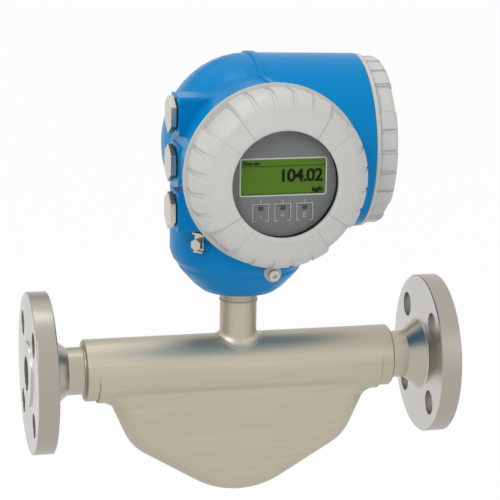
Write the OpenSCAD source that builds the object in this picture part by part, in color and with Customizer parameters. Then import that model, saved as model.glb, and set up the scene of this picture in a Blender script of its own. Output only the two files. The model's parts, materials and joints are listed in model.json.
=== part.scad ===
// Coriolis mass flow meter, DN 25: a bow-tube sensor between two weld-neck
// flanges, with a compact transmitter that turns on the sensor's neck.
// Origin: centre of the inlet flange's sealing face. +X runs with the flow to
// the outlet flange, +Y points to the back and +Z up to the transmitter.

/* [Pipe run] */
// Length between the two sealing faces
face_to_face = 329; // [315:1:360]
// Bore of the flanges
bore_d = 26.7; // [22:0.1:28]
// Outside diameter of the stub that joins a flange to the sensor
stub_d = 36.6; // [34:0.1:40]
// Distance from a sealing face to the end of the sensor tube
end_inset = 43.5; // [40:0.5:50]

/* [Flanges] */
// Outside diameter of a flange
flange_d = 124; // [120:1:140]
// Thickness of a flange over its raised face
flange_t = 17.5; // [15:0.5:22]
// Diameter of the raised sealing face
raised_face_d = 50.8; // [46:0.1:56]
// Height of the raised sealing face
raised_face_h = 1.6; // [1:0.1:3]
// Diameter of the bolt circle
bolt_circle_d = 88.9; // [84:0.1:96]
// Diameter of a bolt hole
bolt_hole_d = 19.1; // [14:0.1:21]
// Number of bolt holes
bolt_count = 4; // [4, 8]
// Diameter of the hub where it meets the flange
hub_d = 54; // [50:0.5:58]
// Axial length of the tapered hub
hub_len = 13; // [8:0.5:18]
// Bevel on the flange's outer edges
flange_bevel = 0.8; // [0.4:0.1:2]

/* [Sensor tube] */
// Outside diameter of the straight sensor tube
sensor_tube_d = 47.6; // [46:0.1:52]
// Wall of the sensor tube
sensor_tube_wall = 3; // [2:0.1:4]
// Bevel on the ends of the sensor tube
tube_end_bevel = 1; // [0.4:0.1:2]

/* [Measuring tubes] */
// Outside diameter of a measuring tube
tube_d = 12.7; // [10:0.1:14]
// Wall of a measuring tube
tube_wall = 1; // [0.6:0.1:1.6]
// Distance between the two tubes' centre lines
tube_pitch = 17; // [15:0.1:18]
// Steepness of the legs below the pipe axis, in degrees
leg_angle = 66; // [55:1:72]
// Straight length of a leg
leg_len = 38; // [30:1:40]
// Steepness of the bow's flanks, in degrees
bow_angle = 31; // [26:1:38]
// Centre-line radius of the bend at a divider
shoulder_bend_r = 16; // [14:1:20]
// Centre-line radius of the bend between leg and bow
knee_bend_r = 20; // [16:1:26]
// Centre-line radius of the bend at the lowest point
bow_bend_r = 50; // [40:1:56]

/* [Flow dividers] */
// Length of a flow divider inside the sensor tube
divider_len = 16.5; // [15:0.5:22]
// Depth of the divider's round inlet
divider_inlet = 8; // [5:0.5:10]
// Depth of the sockets that hold the measuring tubes
socket_depth = 5; // [3:0.5:7]

/* [Brace plates] */
// Thickness of a brace plate
brace_t = 2; // [1.5:0.1:3]
// Width of material around a tube in a brace plate
brace_land = 2.2; // [1.5:0.1:2.6]

/* [Exciter and pick-ups] */
// Outside diameter of a coil
coil_d = 14; // [12:0.5:16]
// Length of a coil
coil_len = 7.6; // [6:0.1:8]
// Bore of a coil
coil_bore_d = 8; // [7:0.1:9]
// Diameter of a magnet
magnet_d = 6.6; // [5:0.1:6.8]
// Height of a coil's axis above its tube's centre line
coil_lift = 14.5; // [14:0.5:18]
// Thickness of a bracket
bracket_t = 2; // [1.5:0.1:3]
// Gap between a bracket and its tube, which the braze fills
bracket_gap = 0.2; // [0.15:0.05:0.3]

/* [Belly shell] */
// Clearance between a measuring tube and the outside of the shell
shell_gap = 10; // [9:0.1:13]
// Half of the shell's width across the pipe
shell_half_w = 19.5; // [18.5:0.1:21]
// Edge radius of the shell
shell_edge_r = 14; // [10:0.5:16]
// Wall of the shell
shell_wall = 2; // [1.5:0.1:3]
// Thickness of the shell's saddle band under the sensor tube
saddle_t = 1.8; // [1:0.1:3]
// Length that the saddle band runs past the shell at each end
saddle_run = 6.5; // [4:0.5:12]

/* [Neck] */
// Outside diameter of the neck
neck_d = 28.4; // [26:0.1:32]
// Wall of the neck
neck_wall = 2.2; // [1.6:0.1:3]
// Height of the joint between neck and swivel spigot above the pipe axis
neck_top = 51; // [46:0.5:54]
// Width of the weld around the foot of the neck
neck_weld = 2.4; // [1.6:0.1:4]
// Diameter of the swivel spigot inside the housing
swivel_d = 34; // [32:0.1:36]
// Length of the swivel spigot inside the housing
swivel_len = 23; // [20:0.5:26]
// Radial clearance of the swivel spigot
swivel_clear = 0.1; // [0.05:0.01:0.2]

/* [Housing] */
// Height of the display's axis above the pipe axis
axis_height = 171; // [168:0.5:176]
// Height of the drum's axis above the display's axis
drum_lift = 3.5; // [0:0.5:5]
// Radius of the drum where its dome begins
drum_r = 68; // [66.5:0.5:69]
// Radius of the drum at its mouth
mouth_r = 66; // [65.5:0.5:67]
// Length of the domed end
dome_len = 64.5; // [60:0.5:68]
// Distance of the drum's axis in front of the neck's axis
drum_forward = 4; // [0:0.5:6]
// Distance of the dome's centre to the outlet side of the neck's axis
dome_shift = 3.5; // [0:0.5:6]
// Distance from the neck's axis to the drum's mouth
drum_reach = 86.5; // [84:0.5:92]
// Radius of the barrel that carries the display
barrel_r = 59.5; // [58:0.5:61]
// Radius of the barrel's shoulder behind the cover
shoulder_r = 63.5; // [61:0.5:64.5]
// Distance from the neck's axis to the barrel's front shoulder
barrel_reach = 104; // [98:0.5:112]
// Radius of the two compartments
bay_r = 49; // [48:0.5:50]
// Depth of the electronics compartment behind the neck's axis
bay_back = 24; // [16:0.5:26]
// Depth of the pocket behind the electronics module
pocket_depth = 20; // [10:0.5:22]
// Radius of that pocket
pocket_r = 33; // [26:0.5:34]
// Depth of the connection compartment from the drum's mouth
terminal_bay_depth = 29; // [24:0.5:32]
// Height of the housing's flat underside above the pipe axis
housing_bottom = 60; // [57:0.5:62]
// Radius of the housing's lower body
base_r = 53.3; // [51:0.1:56]
// Height of the raised lip around the housing's seam
seam_lip = 1.2; // [0.6:0.1:2.4]
// Width of the raised lip
seam_w = 5; // [3:0.5:8]

/* [Cable entries] */
// How far the entries' faces stand out beyond the barrel's side
entry_proud = 0.5; // [0:0.1:4]
// Distance of the entries' axes in front of the neck's axis
entry_forward = 46.5; // [42:0.5:50]
// Height of the top entry above the display's axis
entry_lift = 34.5; // [30:0.5:37]
// Distance between neighbouring entries
entry_pitch = 35.5; // [34:0.5:38]
// Width and height of an entry's boss
entry_boss = 28.6; // [26:0.2:30]
// Diameter of an entry's thread
entry_d = 20; // [16:0.5:20]

/* [Plugs] */
// Width across the flats of a plug's head
plug_flats = 24; // [22:0.5:27]
// Thickness of a plug's head
plug_head_t = 4; // [3:0.1:6]
// Length of a plug's threaded shank
plug_shank = 11; // [8:0.5:14]
// Thickness of a plug's sealing washer
plug_seal_t = 1; // [0.6:0.1:1.6]

/* [Covers] */
// Radius of a cover's rim
rim_r = 65.8; // [65:0.1:68]
// Thickness of a cover's rim
rim_t = 3.2; // [2:0.1:5]
// Radius over the grip lobes
lobe_r = 63.6; // [62.6:0.1:64.4]
// Depth of the gaps between the lobes, on the wall
lobe_gap = 2.4; // [1.5:0.1:3]
// Depth of the gaps between the lobes, on the face
gap_sink = 0.5; // [0.3:0.1:1]
// Angle that one lobe covers, in degrees
lobe_angle = 70; // [64:1:76]
// Number of grip pads on a lobe
pads_per_lobe = 5; // [3:1:6]
// Angle of the groove between two pads, in degrees
pad_groove_angle = 2.6; // [1.5:0.1:4]
// Depth of the groove between two pads
pad_groove = 1.1; // [0.6:0.1:1.6]
// Radius of the thread that carries a cover
thread_r = 54; // [53:0.5:54.5]
// Length of the thread on the housing
thread_len = 11; // [9:0.5:12]
// Depth of the display cover
display_cover_depth = 35.7; // [34:0.1:38]
// Height of the display cover's rounded crown
display_crown_h = 15; // [12:0.5:17]
// Radius where the display cover's crown meets its face
display_crown_r = 50.5; // [49:0.5:52]
// Depth of the connection cover
side_cover_depth = 19; // [17:0.1:22]
// Height of the connection cover's rounded crown
side_crown_h = 4; // [3:0.5:6]
// Radius where the connection cover's crown meets its face
side_crown_r = 58; // [52:0.5:59]
// Turn of the connection cover's lobes, in degrees
side_cover_turn = 5; // [0:1:30]

/* [Display window] */
// Radius of the window opening
window_r = 38; // [34:0.5:39]
// Thickness of the lip in front of the glass
window_lip = 2.4; // [1.6:0.1:3]
// Radius of the glass
glass_r = 42; // [41:0.5:43]
// Thickness of the glass
glass_t = 4; // [3:0.1:5]
// Thickness of the gasket in front of the glass
gasket_t = 0.8; // [0.5:0.1:1.2]
// Thickness of the ring that holds the glass
retainer_t = 2; // [1.5:0.1:3]

/* [Display module] */
// Width of the screen's frame
screen_w = 62.6; // [56:0.2:64]
// Height of the screen's frame
screen_h = 27.2; // [24:0.2:30]
// Height of the screen's middle above the display's middle
screen_lift = 4.2; // [2:0.1:6]
// Width of the frame's edge around the screen
screen_edge = 1; // [0.6:0.1:2]
// Side of a touch-key field
key_side = 11.6; // [9:0.1:12]
// Distance between neighbouring touch keys
key_pitch = 15.4; // [14:0.1:17]
// Distance of the touch keys' middle below the display's middle
key_drop = 21; // [19:0.1:23]
// Height of the screen's frame above the module's face
screen_proud = 0.3; // [0.2:0.05:0.5]
// Gap between the module's face and the glass
bezel_gap = 0.8; // [0.8:0.05:1.5]

/* [Terminals] */
// Number of terminals in the connection compartment
terminal_rows = 5; // [3:1:6]
// Distance between neighbouring terminals
terminal_pitch = 12; // [10:0.5:13]
// Height of the terminal block off the compartment's floor
terminal_d = 16; // [14:0.5:20]
// Height of the terminal block across its wires
terminal_h = 22; // [20:0.5:26]
// Side of a wire's opening
terminal_wire = 7; // [5:0.5:8]
// Radius of a terminal screw
terminal_screw_r = 2.7; // [2:0.1:3]
// Length of a terminal screw
terminal_screw_len = 6; // [5:0.5:7]

/* [Securing clamps] */
// Distance from a cover's axis to its clamp's screw
clamp_reach = 72.2; // [72:0.1:76]
// Radius of a clamp's rounded end
clamp_r = 5.7; // [5:0.1:6]
// Thickness of a clamp
clamp_t = 4.5; // [3:0.1:6]
// Diameter of a clamp's screw
clamp_screw_d = 4; // [3:0.5:5]
// Direction of the connection cover's clamp, in degrees from straight down to the back
side_clamp_turn = 45; // [20:1:60]

/* [Ground terminal] */
// Gap between the lowest cable entry's boss and the ground terminal's boss
ground_gap = 6.2; // [4:0.2:10]
// Direction of the ground terminal, in degrees from the inlet side to the front
ground_turn = 45; // [30:1:60]
// Diameter of the ground screw
ground_screw_d = 5; // [4:0.5:6]
// Width across the flats of the ground screw's head
ground_flats = 8; // [7:0.5:10]

/* [Clearances] */
// Gap between a cover, plug or clamp and the housing
seat_gap = 0.3; // [0.2:0.05:0.5]
// Radial gap of a fixed joint
weld_gap = 0.05; // [0.02:0.01:0.1]
// Radial gap around a screw's shank
screw_gap = 0.2; // [0.1:0.05:0.3]

/* [Hidden] */
$fn = 96;
eps = 0.01;

blue = [0.00, 0.45, 0.76];
cover_grey = [0.78, 0.78, 0.76];
steel = [0.72, 0.69, 0.62];
bright_steel = [0.80, 0.79, 0.76];
copper = [0.72, 0.45, 0.25];
black = [0.08, 0.08, 0.08];
face_grey = [0.45, 0.45, 0.46];
screen_green = [0.33, 0.46, 0.17];

mid_x = face_to_face / 2;
bore_r = bore_d / 2;
stub_r = stub_d / 2;
sensor_r = sensor_tube_d / 2;
sensor_in_r = sensor_r - sensor_tube_wall;

// Route of a measuring tube in the plane of its bends, inlet half
bend_swell = 0.03;
bend_lap = 0.4;
divider_end = end_inset + divider_len;
tube_r = tube_d / 2;
tube_y = tube_pitch / 2;
leg_start = [divider_end + shoulder_bend_r * sin(leg_angle),
    -shoulder_bend_r * (1 - cos(leg_angle))];
leg_end = leg_start + leg_len * [cos(leg_angle), -sin(leg_angle)];
flank_start = leg_end + knee_bend_r * [sin(leg_angle) - sin(bow_angle),
    cos(leg_angle) - cos(bow_angle)];
flank_run = mid_x - bow_bend_r * sin(bow_angle) - flank_start[0];
flank_len = flank_run / cos(bow_angle);
flank_end = flank_start + flank_len * [cos(bow_angle), -sin(bow_angle)];
bow_centre = [mid_x, flank_end[1] + bow_bend_r * cos(bow_angle)];
bow_low = bow_centre[1] - bow_bend_r;

// Shell around the tubes
shell_offset = tube_r + shell_gap - shell_edge_r;
shell_side = shell_half_w - shell_edge_r;
slot_half = tube_y + tube_r + 0.8;
slot_start = divider_end + 2;

// Neck and swivel
neck_r = neck_d / 2;
swivel_r = swivel_d / 2;
swivel_base = housing_bottom + seat_gap;
swivel_top = swivel_base + swivel_len;
swivel_groove = [swivel_base + swivel_len / 2, 3];

// Housing
drum_y = -drum_forward;
drum_z = axis_height + drum_lift;
dome_x = mid_x + dome_shift;
mouth_x = mid_x + drum_reach;
shoulder_y = -barrel_reach;
thread_bore_r = thread_r + seat_gap;
cover_y = shoulder_y - seat_gap;
side_cover_x = mouth_x + seat_gap;
base_wall = 6;
base_floor = swivel_top + 10;
ledge_r = base_r - 6.2;
wire_hole_r = 7;

// Cable entries
entry_reach = barrel_r + entry_proud;
entry_x = mid_x - entry_reach;
entry_y = -entry_forward;
entry_z = [for (i = [0:2]) axis_height + entry_lift - i * entry_pitch];
entry_bore_r = entry_d / 2 - 0.6;
plug_head_x = entry_x - seat_gap - plug_seal_t - plug_head_t;

// Ground terminal, under the lowest entry
ground_boss_r = ground_flats;
ground_height = entry_z[2] - entry_boss / 2 - ground_gap - ground_boss_r;
ground_seat = base_r + 1.5;
ground_washer_r = ground_flats / 2 + 0.8;
strip_t = 1.4;

// Display, measured forward from the neck's axis
face_y = cover_y - display_cover_depth;
gasket_y = face_y + window_lip;
glass_y = gasket_y + gasket_t;
retainer_y = glass_y + glass_t;
bezel_r = window_r + seat_gap;
bezel_front = retainer_y + bezel_gap;
bezel_t = 5;
carrier_front = bezel_front + bezel_t;
carrier_r = bay_r - 0.5;
carrier_back = shoulder_y + 17;
module_front = carrier_back;

// Terminals
terminal_x = mouth_x - terminal_bay_depth;
terminal_w = terminal_rows * terminal_pitch + 2;
terminal_z = drum_z + terminal_wire / 2;
terminal_screw_z = terminal_z + terminal_h - 2 * terminal_screw_r;

module_back = bay_back - 0.5;

// Local z runs along +X from the given point
module facing_outlet(x, y = 0, z = 0) {
    translate([x, y, z]) rotate([0, 90, 0]) children();
}

// Local z runs along -X from the given point
module facing_inlet(x, y = 0, z = 0) {
    translate([x, y, z]) rotate([0, -90, 0]) children();
}

// Local z runs to the front (-Y) from the given point, local y stays up
module facing_front(x, y, z) {
    translate([x, y, z]) rotate([90, 0, 0]) children();
}

// The same solid at the inlet and, mirrored, at the outlet
module outlet_side() {
    translate([face_to_face, 0, 0]) mirror([1, 0, 0]) children();
}

module both_sides() {
    children();
    outlet_side() children();
}

module ring(outer, inner, height) {
    difference() {
        cylinder(r = outer, h = height);
        translate([0, 0, -1]) cylinder(r = inner, h = height + 2);
    }
}

// ---- Flanges ----

module weld_neck_flange() {
    face_r = raised_face_d / 2;
    edge_r = flange_d / 2;
    difference() {
        facing_outlet(0) rotate_extrude() polygon([
            [bore_r, 0], [face_r - 0.4, 0], [face_r, 0.4], [face_r, raised_face_h],
            [edge_r - flange_bevel, raised_face_h],
            [edge_r, raised_face_h + flange_bevel],
            [edge_r, flange_t - flange_bevel], [edge_r - flange_bevel, flange_t],
            [hub_d / 2 + 1.5, flange_t], [hub_d / 2, flange_t + 1.2],
            [stub_r, flange_t + hub_len], [stub_r, end_inset], [bore_r, end_inset]]);
        for (i = [0:bolt_count - 1])
            rotate([(i + 0.5) * 360 / bolt_count, 0, 0])
                facing_outlet(-1, 0, bolt_circle_d / 2)
                    cylinder(d = bolt_hole_d, h = flange_t + 2);
    }
}

module inlet_flange() {
    color(bright_steel) weld_neck_flange();
}

module outlet_flange() {
    color(bright_steel) outlet_side() weld_neck_flange();
}

// ---- Flow path ----

module flow_divider() {
    difference() {
        facing_outlet(end_inset) cylinder(r = sensor_in_r - weld_gap, h = divider_len);
        facing_outlet(end_inset - 1) cylinder(r = bore_r, h = divider_inlet + 1);
        for (side = [-1, 1]) {
            facing_outlet(end_inset, side * tube_y)
                cylinder(r = tube_r - tube_wall, h = divider_len + 1);
            facing_outlet(divider_end - socket_depth, side * tube_y)
                cylinder(r = tube_r + weld_gap, h = socket_depth + 1);
        }
    }
}

module inlet_divider() {
    color(steel) flow_divider();
}

module outlet_divider() {
    color(steel) outlet_side() flow_divider();
}

// One bend of a round rod: centre of the bend, its radius and its two angles
// in the XZ plane, measured from straight up towards the outlet
module rod_bend(centre, bend_r, from, to, r) {
    translate([centre[0], 0, centre[1]]) rotate([90, 0, 0])
        rotate_extrude(start = 90 - to, angle = to - from)
            translate([bend_r, 0]) circle(r = r + bend_swell, $fn = 48);
}

// One straight of a round rod, falling at the given angle, let into both bends
module rod_straight(from, length, fall, r, lead = bend_lap) {
    translate([from[0], 0, from[1]]) rotate([0, 90 + fall, 0])
        translate([0, 0, -lead]) cylinder(r = r, h = length + lead + bend_lap, $fn = 48);
}

// Inlet half of the bent route, without the bend at the lowest point
module half_route(r, lead) {
    rod_straight([divider_end - socket_depth, 0], socket_depth, 0, r, lead);
    rod_bend([divider_end, -shoulder_bend_r], shoulder_bend_r, 0, leg_angle, r);
    rod_straight(leg_start, leg_len, leg_angle, r);
    rod_bend(leg_end + knee_bend_r * [sin(leg_angle), cos(leg_angle)], knee_bend_r,
        180 + bow_angle, 180 + leg_angle, r);
    rod_straight(flank_start, flank_len, bow_angle, r);
}

module whole_route(r, lead) {
    half_route(r, lead);
    outlet_side() half_route(r, lead);
    rod_bend(bow_centre, bow_bend_r, 180 - bow_angle, 180 + bow_angle, r);
}

module bent_tube(y) {
    translate([0, y, 0]) difference() {
        whole_route(tube_r, 0);
        whole_route(tube_r - tube_wall, 1);
    }
}

module front_measuring_tube() {
    color(bright_steel) bent_tube(-tube_y);
}

module rear_measuring_tube() {
    color(bright_steel) bent_tube(tube_y);
}

// A point on the inlet leg, measured down from the shoulder bend
function on_leg(s) = leg_start + s * [cos(leg_angle), -sin(leg_angle)];
// A point on the inlet flank of the bow
function on_flank(s) = flank_start + s * [cos(bow_angle), -sin(bow_angle)];

module brace_plate(s) {
    p = on_leg(s);
    translate([p[0], 0, p[1]]) rotate([0, 90 + leg_angle, 0]) difference() {
        union() {
            for (side = [-1, 1]) translate([0, side * tube_y, 0])
                cylinder(r = tube_r + brace_land, h = brace_t);
            translate([-tube_r - brace_land, -tube_y, 0])
                cube([tube_d + 2 * brace_land, tube_pitch, brace_t]);
        }
        for (side = [-1, 1]) translate([0, side * tube_y, -1])
            cylinder(r = tube_r + weld_gap, h = brace_t + 2);
    }
}

module brace_plates() {
    color(steel) both_sides() for (part = [0.42, 0.8]) brace_plate(part * leg_len);
}

// A coil on its bracket, standing on the front tube at the given route point
module coil_unit(p, fall) {
    axis_z = p[1] + coil_lift;
    coil_y = -coil_len / 2 - 1;
    difference() {
        union() {
            facing_front(p[0], coil_y + coil_len / 2, axis_z)
                cylinder(d = coil_d, h = coil_len);
            translate([p[0] - coil_d / 4, -tube_y - bracket_t / 2, p[1]])
                cube([coil_d / 2, bracket_t, coil_lift]);
        }
        facing_front(p[0], coil_len, axis_z) cylinder(d = coil_bore_d, h = 3 * coil_len);
        translate([p[0], -tube_y, p[1]]) rotate([0, 90 + fall, 0])
            translate([0, 0, -coil_d]) cylinder(r = tube_r + bracket_gap, h = 2 * coil_d);
    }
}

// A magnet on its bracket, standing on the rear tube and reaching into the coil
module magnet_unit(p, fall) {
    axis_z = p[1] + coil_lift;
    difference() {
        union() {
            facing_front(p[0], tube_y, axis_z) cylinder(d = magnet_d, h = tube_y + 4);
            translate([p[0] - coil_d / 4, tube_y - bracket_t / 2, p[1]])
                cube([coil_d / 2, bracket_t, coil_lift + magnet_d / 2]);
        }
        translate([p[0], tube_y, p[1]]) rotate([0, 90 + fall, 0])
            translate([0, 0, -coil_d]) cylinder(r = tube_r + bracket_gap, h = 2 * coil_d);
    }
}

pickup_at = on_flank(flank_len * 0.3);

module exciter_coil() {
    color(copper) coil_unit([mid_x, bow_low], 0);
}

module exciter_magnet() {
    color(bright_steel) magnet_unit([mid_x, bow_low], 0);
}

module pickup_coils() {
    color(copper) both_sides() coil_unit(pickup_at, bow_angle);
}

module pickup_magnets() {
    color(bright_steel) both_sides() magnet_unit(pickup_at, bow_angle);
}

// Clip with the temperature resistor, around the front tube's inlet flank
module temperature_sensor() {
    p = on_flank(flank_len * 0.75);
    color(copper) translate([p[0], -tube_y, p[1]]) rotate([0, 90 + bow_angle, 0])
        translate([0, 0, -3]) difference() {
            union() {
                cylinder(r = tube_r + 1, h = 6);
                translate([-tube_r - 4, -2, 0]) cube([5, 4, 6]);
            }
            translate([0, 0, -1]) cylinder(r = tube_r + weld_gap, h = 8);
        }
}

// ---- Sensor body ----

module sensor_tube() {
    len = face_to_face - 2 * end_inset;
    color(steel) difference() {
        facing_outlet(end_inset) rotate_extrude() polygon([
            [sensor_in_r, 0], [sensor_r - tube_end_bevel, 0],
            [sensor_r, tube_end_bevel], [sensor_r, len - tube_end_bevel],
            [sensor_r - tube_end_bevel, len], [sensor_in_r, len]]);
        translate([slot_start, -slot_half, -sensor_r - 1])
            cube([face_to_face - 2 * slot_start, 2 * slot_half, sensor_r + 1]);
        translate([mid_x, 0, 0]) cylinder(r = neck_r - neck_wall, h = sensor_r + 1);
    }
}

// Fullness of the shell: the tubes' outline, offset and rounded all over
module shell_form(r) {
    shoulder = leg_start + shell_offset * [-sin(leg_angle), -cos(leg_angle)];
    knee_centre = leg_end + knee_bend_r * [sin(leg_angle), cos(leg_angle)];
    knee = [for (a = [bow_angle:(leg_angle - bow_angle) / 3:leg_angle])
        knee_centre - (knee_bend_r + shell_offset) * [sin(a), cos(a)]];
    bow = [for (a = [-bow_angle:bow_angle / 3:0])
        bow_centre + (bow_bend_r + shell_offset) * [sin(a), -cos(a)]];
    hull() both_sides() for (p = concat([shoulder], knee, bow))
        for (side = [-1, 1]) translate([p[0], side * shell_side, p[1]])
            rotate([90, 0, 0]) sphere(r = r, $fn = 28);
}

module saddle_band() {
    start = leg_start[0] - (shell_offset + shell_edge_r) * sin(leg_angle) - saddle_run;
    rise = sqrt(pow(sensor_r, 2) - pow(shell_half_w, 2));
    difference() {
        facing_outlet(start) ring(sensor_r + saddle_t, sensor_r + weld_gap,
            face_to_face - 2 * start);
        translate([start - 1, -2 * sensor_r, -rise])
            cube([face_to_face, 4 * sensor_r, 3 * sensor_r]);
    }
}

module belly_shell() {
    color(steel) {
        difference() {
            union() {
                shell_form(shell_edge_r);
                saddle_band();
            }
            shell_form(shell_edge_r - shell_wall);
            facing_outlet(0) cylinder(r = sensor_r + weld_gap, h = face_to_face);
        }
    }
}

// ---- Neck ----

module neck_tube() {
    foot = sensor_r + neck_weld;
    color(steel) difference() {
        union() {
            cylinder(r = neck_r, h = neck_top);
            intersection() {
                cylinder(r = neck_r + neck_weld, h = foot);
                facing_outlet(-foot) cylinder(r = foot, h = 2 * foot);
            }
        }
        translate([0, 0, -1]) cylinder(r = neck_r - neck_wall, h = neck_top + 2);
        facing_outlet(-foot - 1) cylinder(r = sensor_r + weld_gap, h = 2 * foot + 2);
    }
}

module swivel_spigot() {
    collar = 1;
    color(bright_steel) rotate_extrude() polygon([
        [neck_r - neck_wall, neck_top], [neck_r + 0.6, neck_top],
        [neck_r + 0.6, neck_top + collar], [neck_r, neck_top + collar],
        [neck_r, swivel_base], [swivel_r, swivel_base],
        [swivel_r, swivel_groove[0] - swivel_groove[1]],
        [swivel_r - 2, swivel_groove[0] - swivel_groove[1]],
        [swivel_r - 2, swivel_groove[0] + swivel_groove[1]],
        [swivel_r, swivel_groove[0] + swivel_groove[1]],
        [swivel_r, swivel_top - 5], [swivel_r - 1.6, swivel_top - 5],
        [swivel_r - 1.6, swivel_top - 2.6], [swivel_r, swivel_top - 2.6],
        [swivel_r, swivel_top], [neck_r - neck_wall, swivel_top]]);
}

module swivel_seal() {
    color(black) translate([0, 0, swivel_top - 3.8])
        rotate_extrude() translate([swivel_r - 0.75, 0]) circle(r = 0.8, $fn = 24);
}

module neck_feedthrough() {
    base = neck_top - 8;
    color(black) {
        translate([0, 0, base]) cylinder(r = neck_r - neck_wall - weld_gap, h = 5);
        for (i = [0:8]) rotate([0, 0, i * 40])
            translate([6.5, 0, base - 3]) cylinder(r = 0.6, h = 14);
    }
}

// ---- Housing ----

// Vertical section of the lower body, from its flat underside up
function base_profile() = [
    [0, housing_bottom], [base_r - 28, housing_bottom],
    [base_r - 24, housing_bottom + 1], [base_r - 19, housing_bottom + 5],
    [base_r - 14.2, housing_bottom + 10], [base_r - 9.6, housing_bottom + 15],
    [ledge_r - 0.6, housing_bottom + 18.5], [ledge_r, housing_bottom + 20.5],
    [base_r - 2, housing_bottom + 26], [base_r, housing_bottom + 32],
    [base_r, axis_height - 30], [0, axis_height - 30]];

// Upright body under the drum, with a bowl that narrows to the neck
module lower_body() {
    translate([mid_x, 0, 0]) rotate_extrude() polygon(base_profile());
}

// Drum with its domed end: a half ellipse and then a slight taper to the mouth
module drum() {
    dome = [for (a = [0:7.5:90]) [drum_r * sin(a), -dome_len * cos(a)]];
    facing_outlet(dome_x, drum_y, drum_z) rotate_extrude()
        polygon(concat(dome, [[mouth_r, mouth_x - dome_x], [0, mouth_x - dome_x]]));
}

// Barrel for the display, widening to a shoulder behind the cover
module barrel() {
    facing_front(mid_x, 0, axis_height) rotate_extrude() polygon([
        [0, 0], [barrel_r, 0], [barrel_r, barrel_reach - 22],
        [barrel_r + 1, barrel_reach - 17], [shoulder_r - 1, barrel_reach - 10],
        [shoulder_r, barrel_reach - 6], [shoulder_r, barrel_reach], [0, barrel_reach]]);
}

module thread_spigots() {
    facing_front(mid_x, 0, axis_height)
        cylinder(r = thread_r, h = barrel_reach + thread_len);
    facing_outlet(dome_x, drum_y, drum_z)
        cylinder(r = thread_r, h = mouth_x - dome_x + thread_len);
}

// Block with rounded edges around one cable entry
module entry_boss_form(z) {
    half = entry_boss / 2;
    edge = 2.5;
    depth = entry_reach - 18;
    facing_outlet(entry_x, entry_y, z) linear_extrude(depth) union() {
        square([entry_boss - 2 * edge, entry_boss], center = true);
        square([entry_boss, entry_boss - 2 * edge], center = true);
        for (a = [-1, 1], b = [-1, 1])
            translate([a * (half - edge), b * (half - edge)]) circle(r = edge, $fn = 32);
    }
}

// Lip over the top of the housing, where the two halves of its mould met
module seam() {
    reach = barrel_reach - 12;
    facing_outlet(dome_x, 0, axis_height) linear_extrude(seam_w) intersection() {
        union() {
            translate([-drum_lift, drum_y]) circle(r = drum_r + seam_lip);
            translate([-barrel_r - seam_lip, -reach]) square([barrel_r, reach]);
        }
        translate([-2 * drum_r, -reach]) square([2 * drum_r, 2 * reach]);
    }
}

// Boss that carries a securing clamp, along local z behind the clamp's seat
module clamp_boss(length, inward) {
    translate([0, -clamp_reach, -length]) {
        cylinder(r = clamp_r, h = length);
        translate([-clamp_r, 0, 0]) cube([2 * clamp_r, inward, length]);
    }
}

module clamp_screw_hole(length) {
    translate([0, -clamp_reach, -length])
        cylinder(d = clamp_screw_d + 2 * screw_gap, h = length + 1);
}

module at_display_clamp() {
    facing_front(mid_x, shoulder_y, axis_height) children();
}

module at_side_clamp() {
    translate([mouth_x, drum_y, drum_z]) rotate([0, 90, 0])
        rotate([0, 0, 90 + side_clamp_turn]) children();
}

module at_ground() {
    translate([mid_x, 0, ground_height]) rotate([0, 0, ground_turn])
        facing_inlet(0) children();
}

module at_swivel_screw() {
    translate([mid_x, 0, swivel_groove[0]]) facing_inlet(0) children();
}

module housing_solid() {
    drum();
    barrel();
    lower_body();
    thread_spigots();
    for (z = entry_z) entry_boss_form(z);
    seam();
    at_display_clamp() clamp_boss(18, clamp_reach - barrel_r + 4);
    at_side_clamp() clamp_boss(18, clamp_reach - mouth_r + 4);
    at_ground() cylinder(r = ground_boss_r, h = ground_seat);
}

module housing_hollows() {
    // Electronics compartment
    facing_front(mid_x, bay_back, axis_height)
        cylinder(r = bay_r, h = bay_back + barrel_reach + thread_len + 1);
    facing_front(mid_x, bay_back + pocket_depth, axis_height)
        cylinder(r = pocket_r, h = pocket_depth + 1);
    // Connection compartment
    facing_outlet(mouth_x - terminal_bay_depth, drum_y, drum_z)
        cylinder(r = bay_r, h = terminal_bay_depth + thread_len + 1);
    // Wire passage between the two
    facing_outlet(mid_x + bay_r / 2, drum_y, drum_z - bay_r / 2)
        cylinder(r = wire_hole_r, h = drum_reach - terminal_bay_depth);
    // Room inside the lower body and passage down into the neck
    translate([mid_x, 0, base_floor])
        cylinder(r = base_r - base_wall, h = axis_height - bay_r - base_floor + 8);
    translate([mid_x, 0, swivel_top]) cylinder(r = neck_r - neck_wall, h = 20);
    translate([mid_x, 0, housing_bottom - 1])
        cylinder(r = swivel_r + swivel_clear, h = swivel_top + seat_gap - housing_bottom + 1);
    // Cable entries
    for (z = entry_z) facing_outlet(entry_x - 1, entry_y, z)
        cylinder(r = entry_bore_r, h = entry_reach - 20);
    // Seats of the two cover seals
    facing_front(mid_x, shoulder_y, axis_height)
        ring(thread_r + 1, thread_r - 1.8, 2.4);
    facing_outlet(mouth_x, drum_y, drum_z)
        ring(thread_r + 1, thread_r - 1.8, 2.4);
    // Screw holes
    at_display_clamp() clamp_screw_hole(14);
    at_side_clamp() clamp_screw_hole(14);
    at_ground() translate([0, 0, base_r - 9])
        cylinder(d = ground_screw_d + 2 * screw_gap, h = 20);
    at_swivel_screw() cylinder(d = 6 + 2 * screw_gap, h = base_r);
}

module transmitter_housing() {
    color(blue) difference() {
        housing_solid();
        housing_hollows();
    }
}

module cover_seal_ring() {
    translate([0, 0, 1.2]) rotate_extrude()
        translate([thread_r - 0.85, 0]) circle(r = 0.9, $fn = 24);
}

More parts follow.
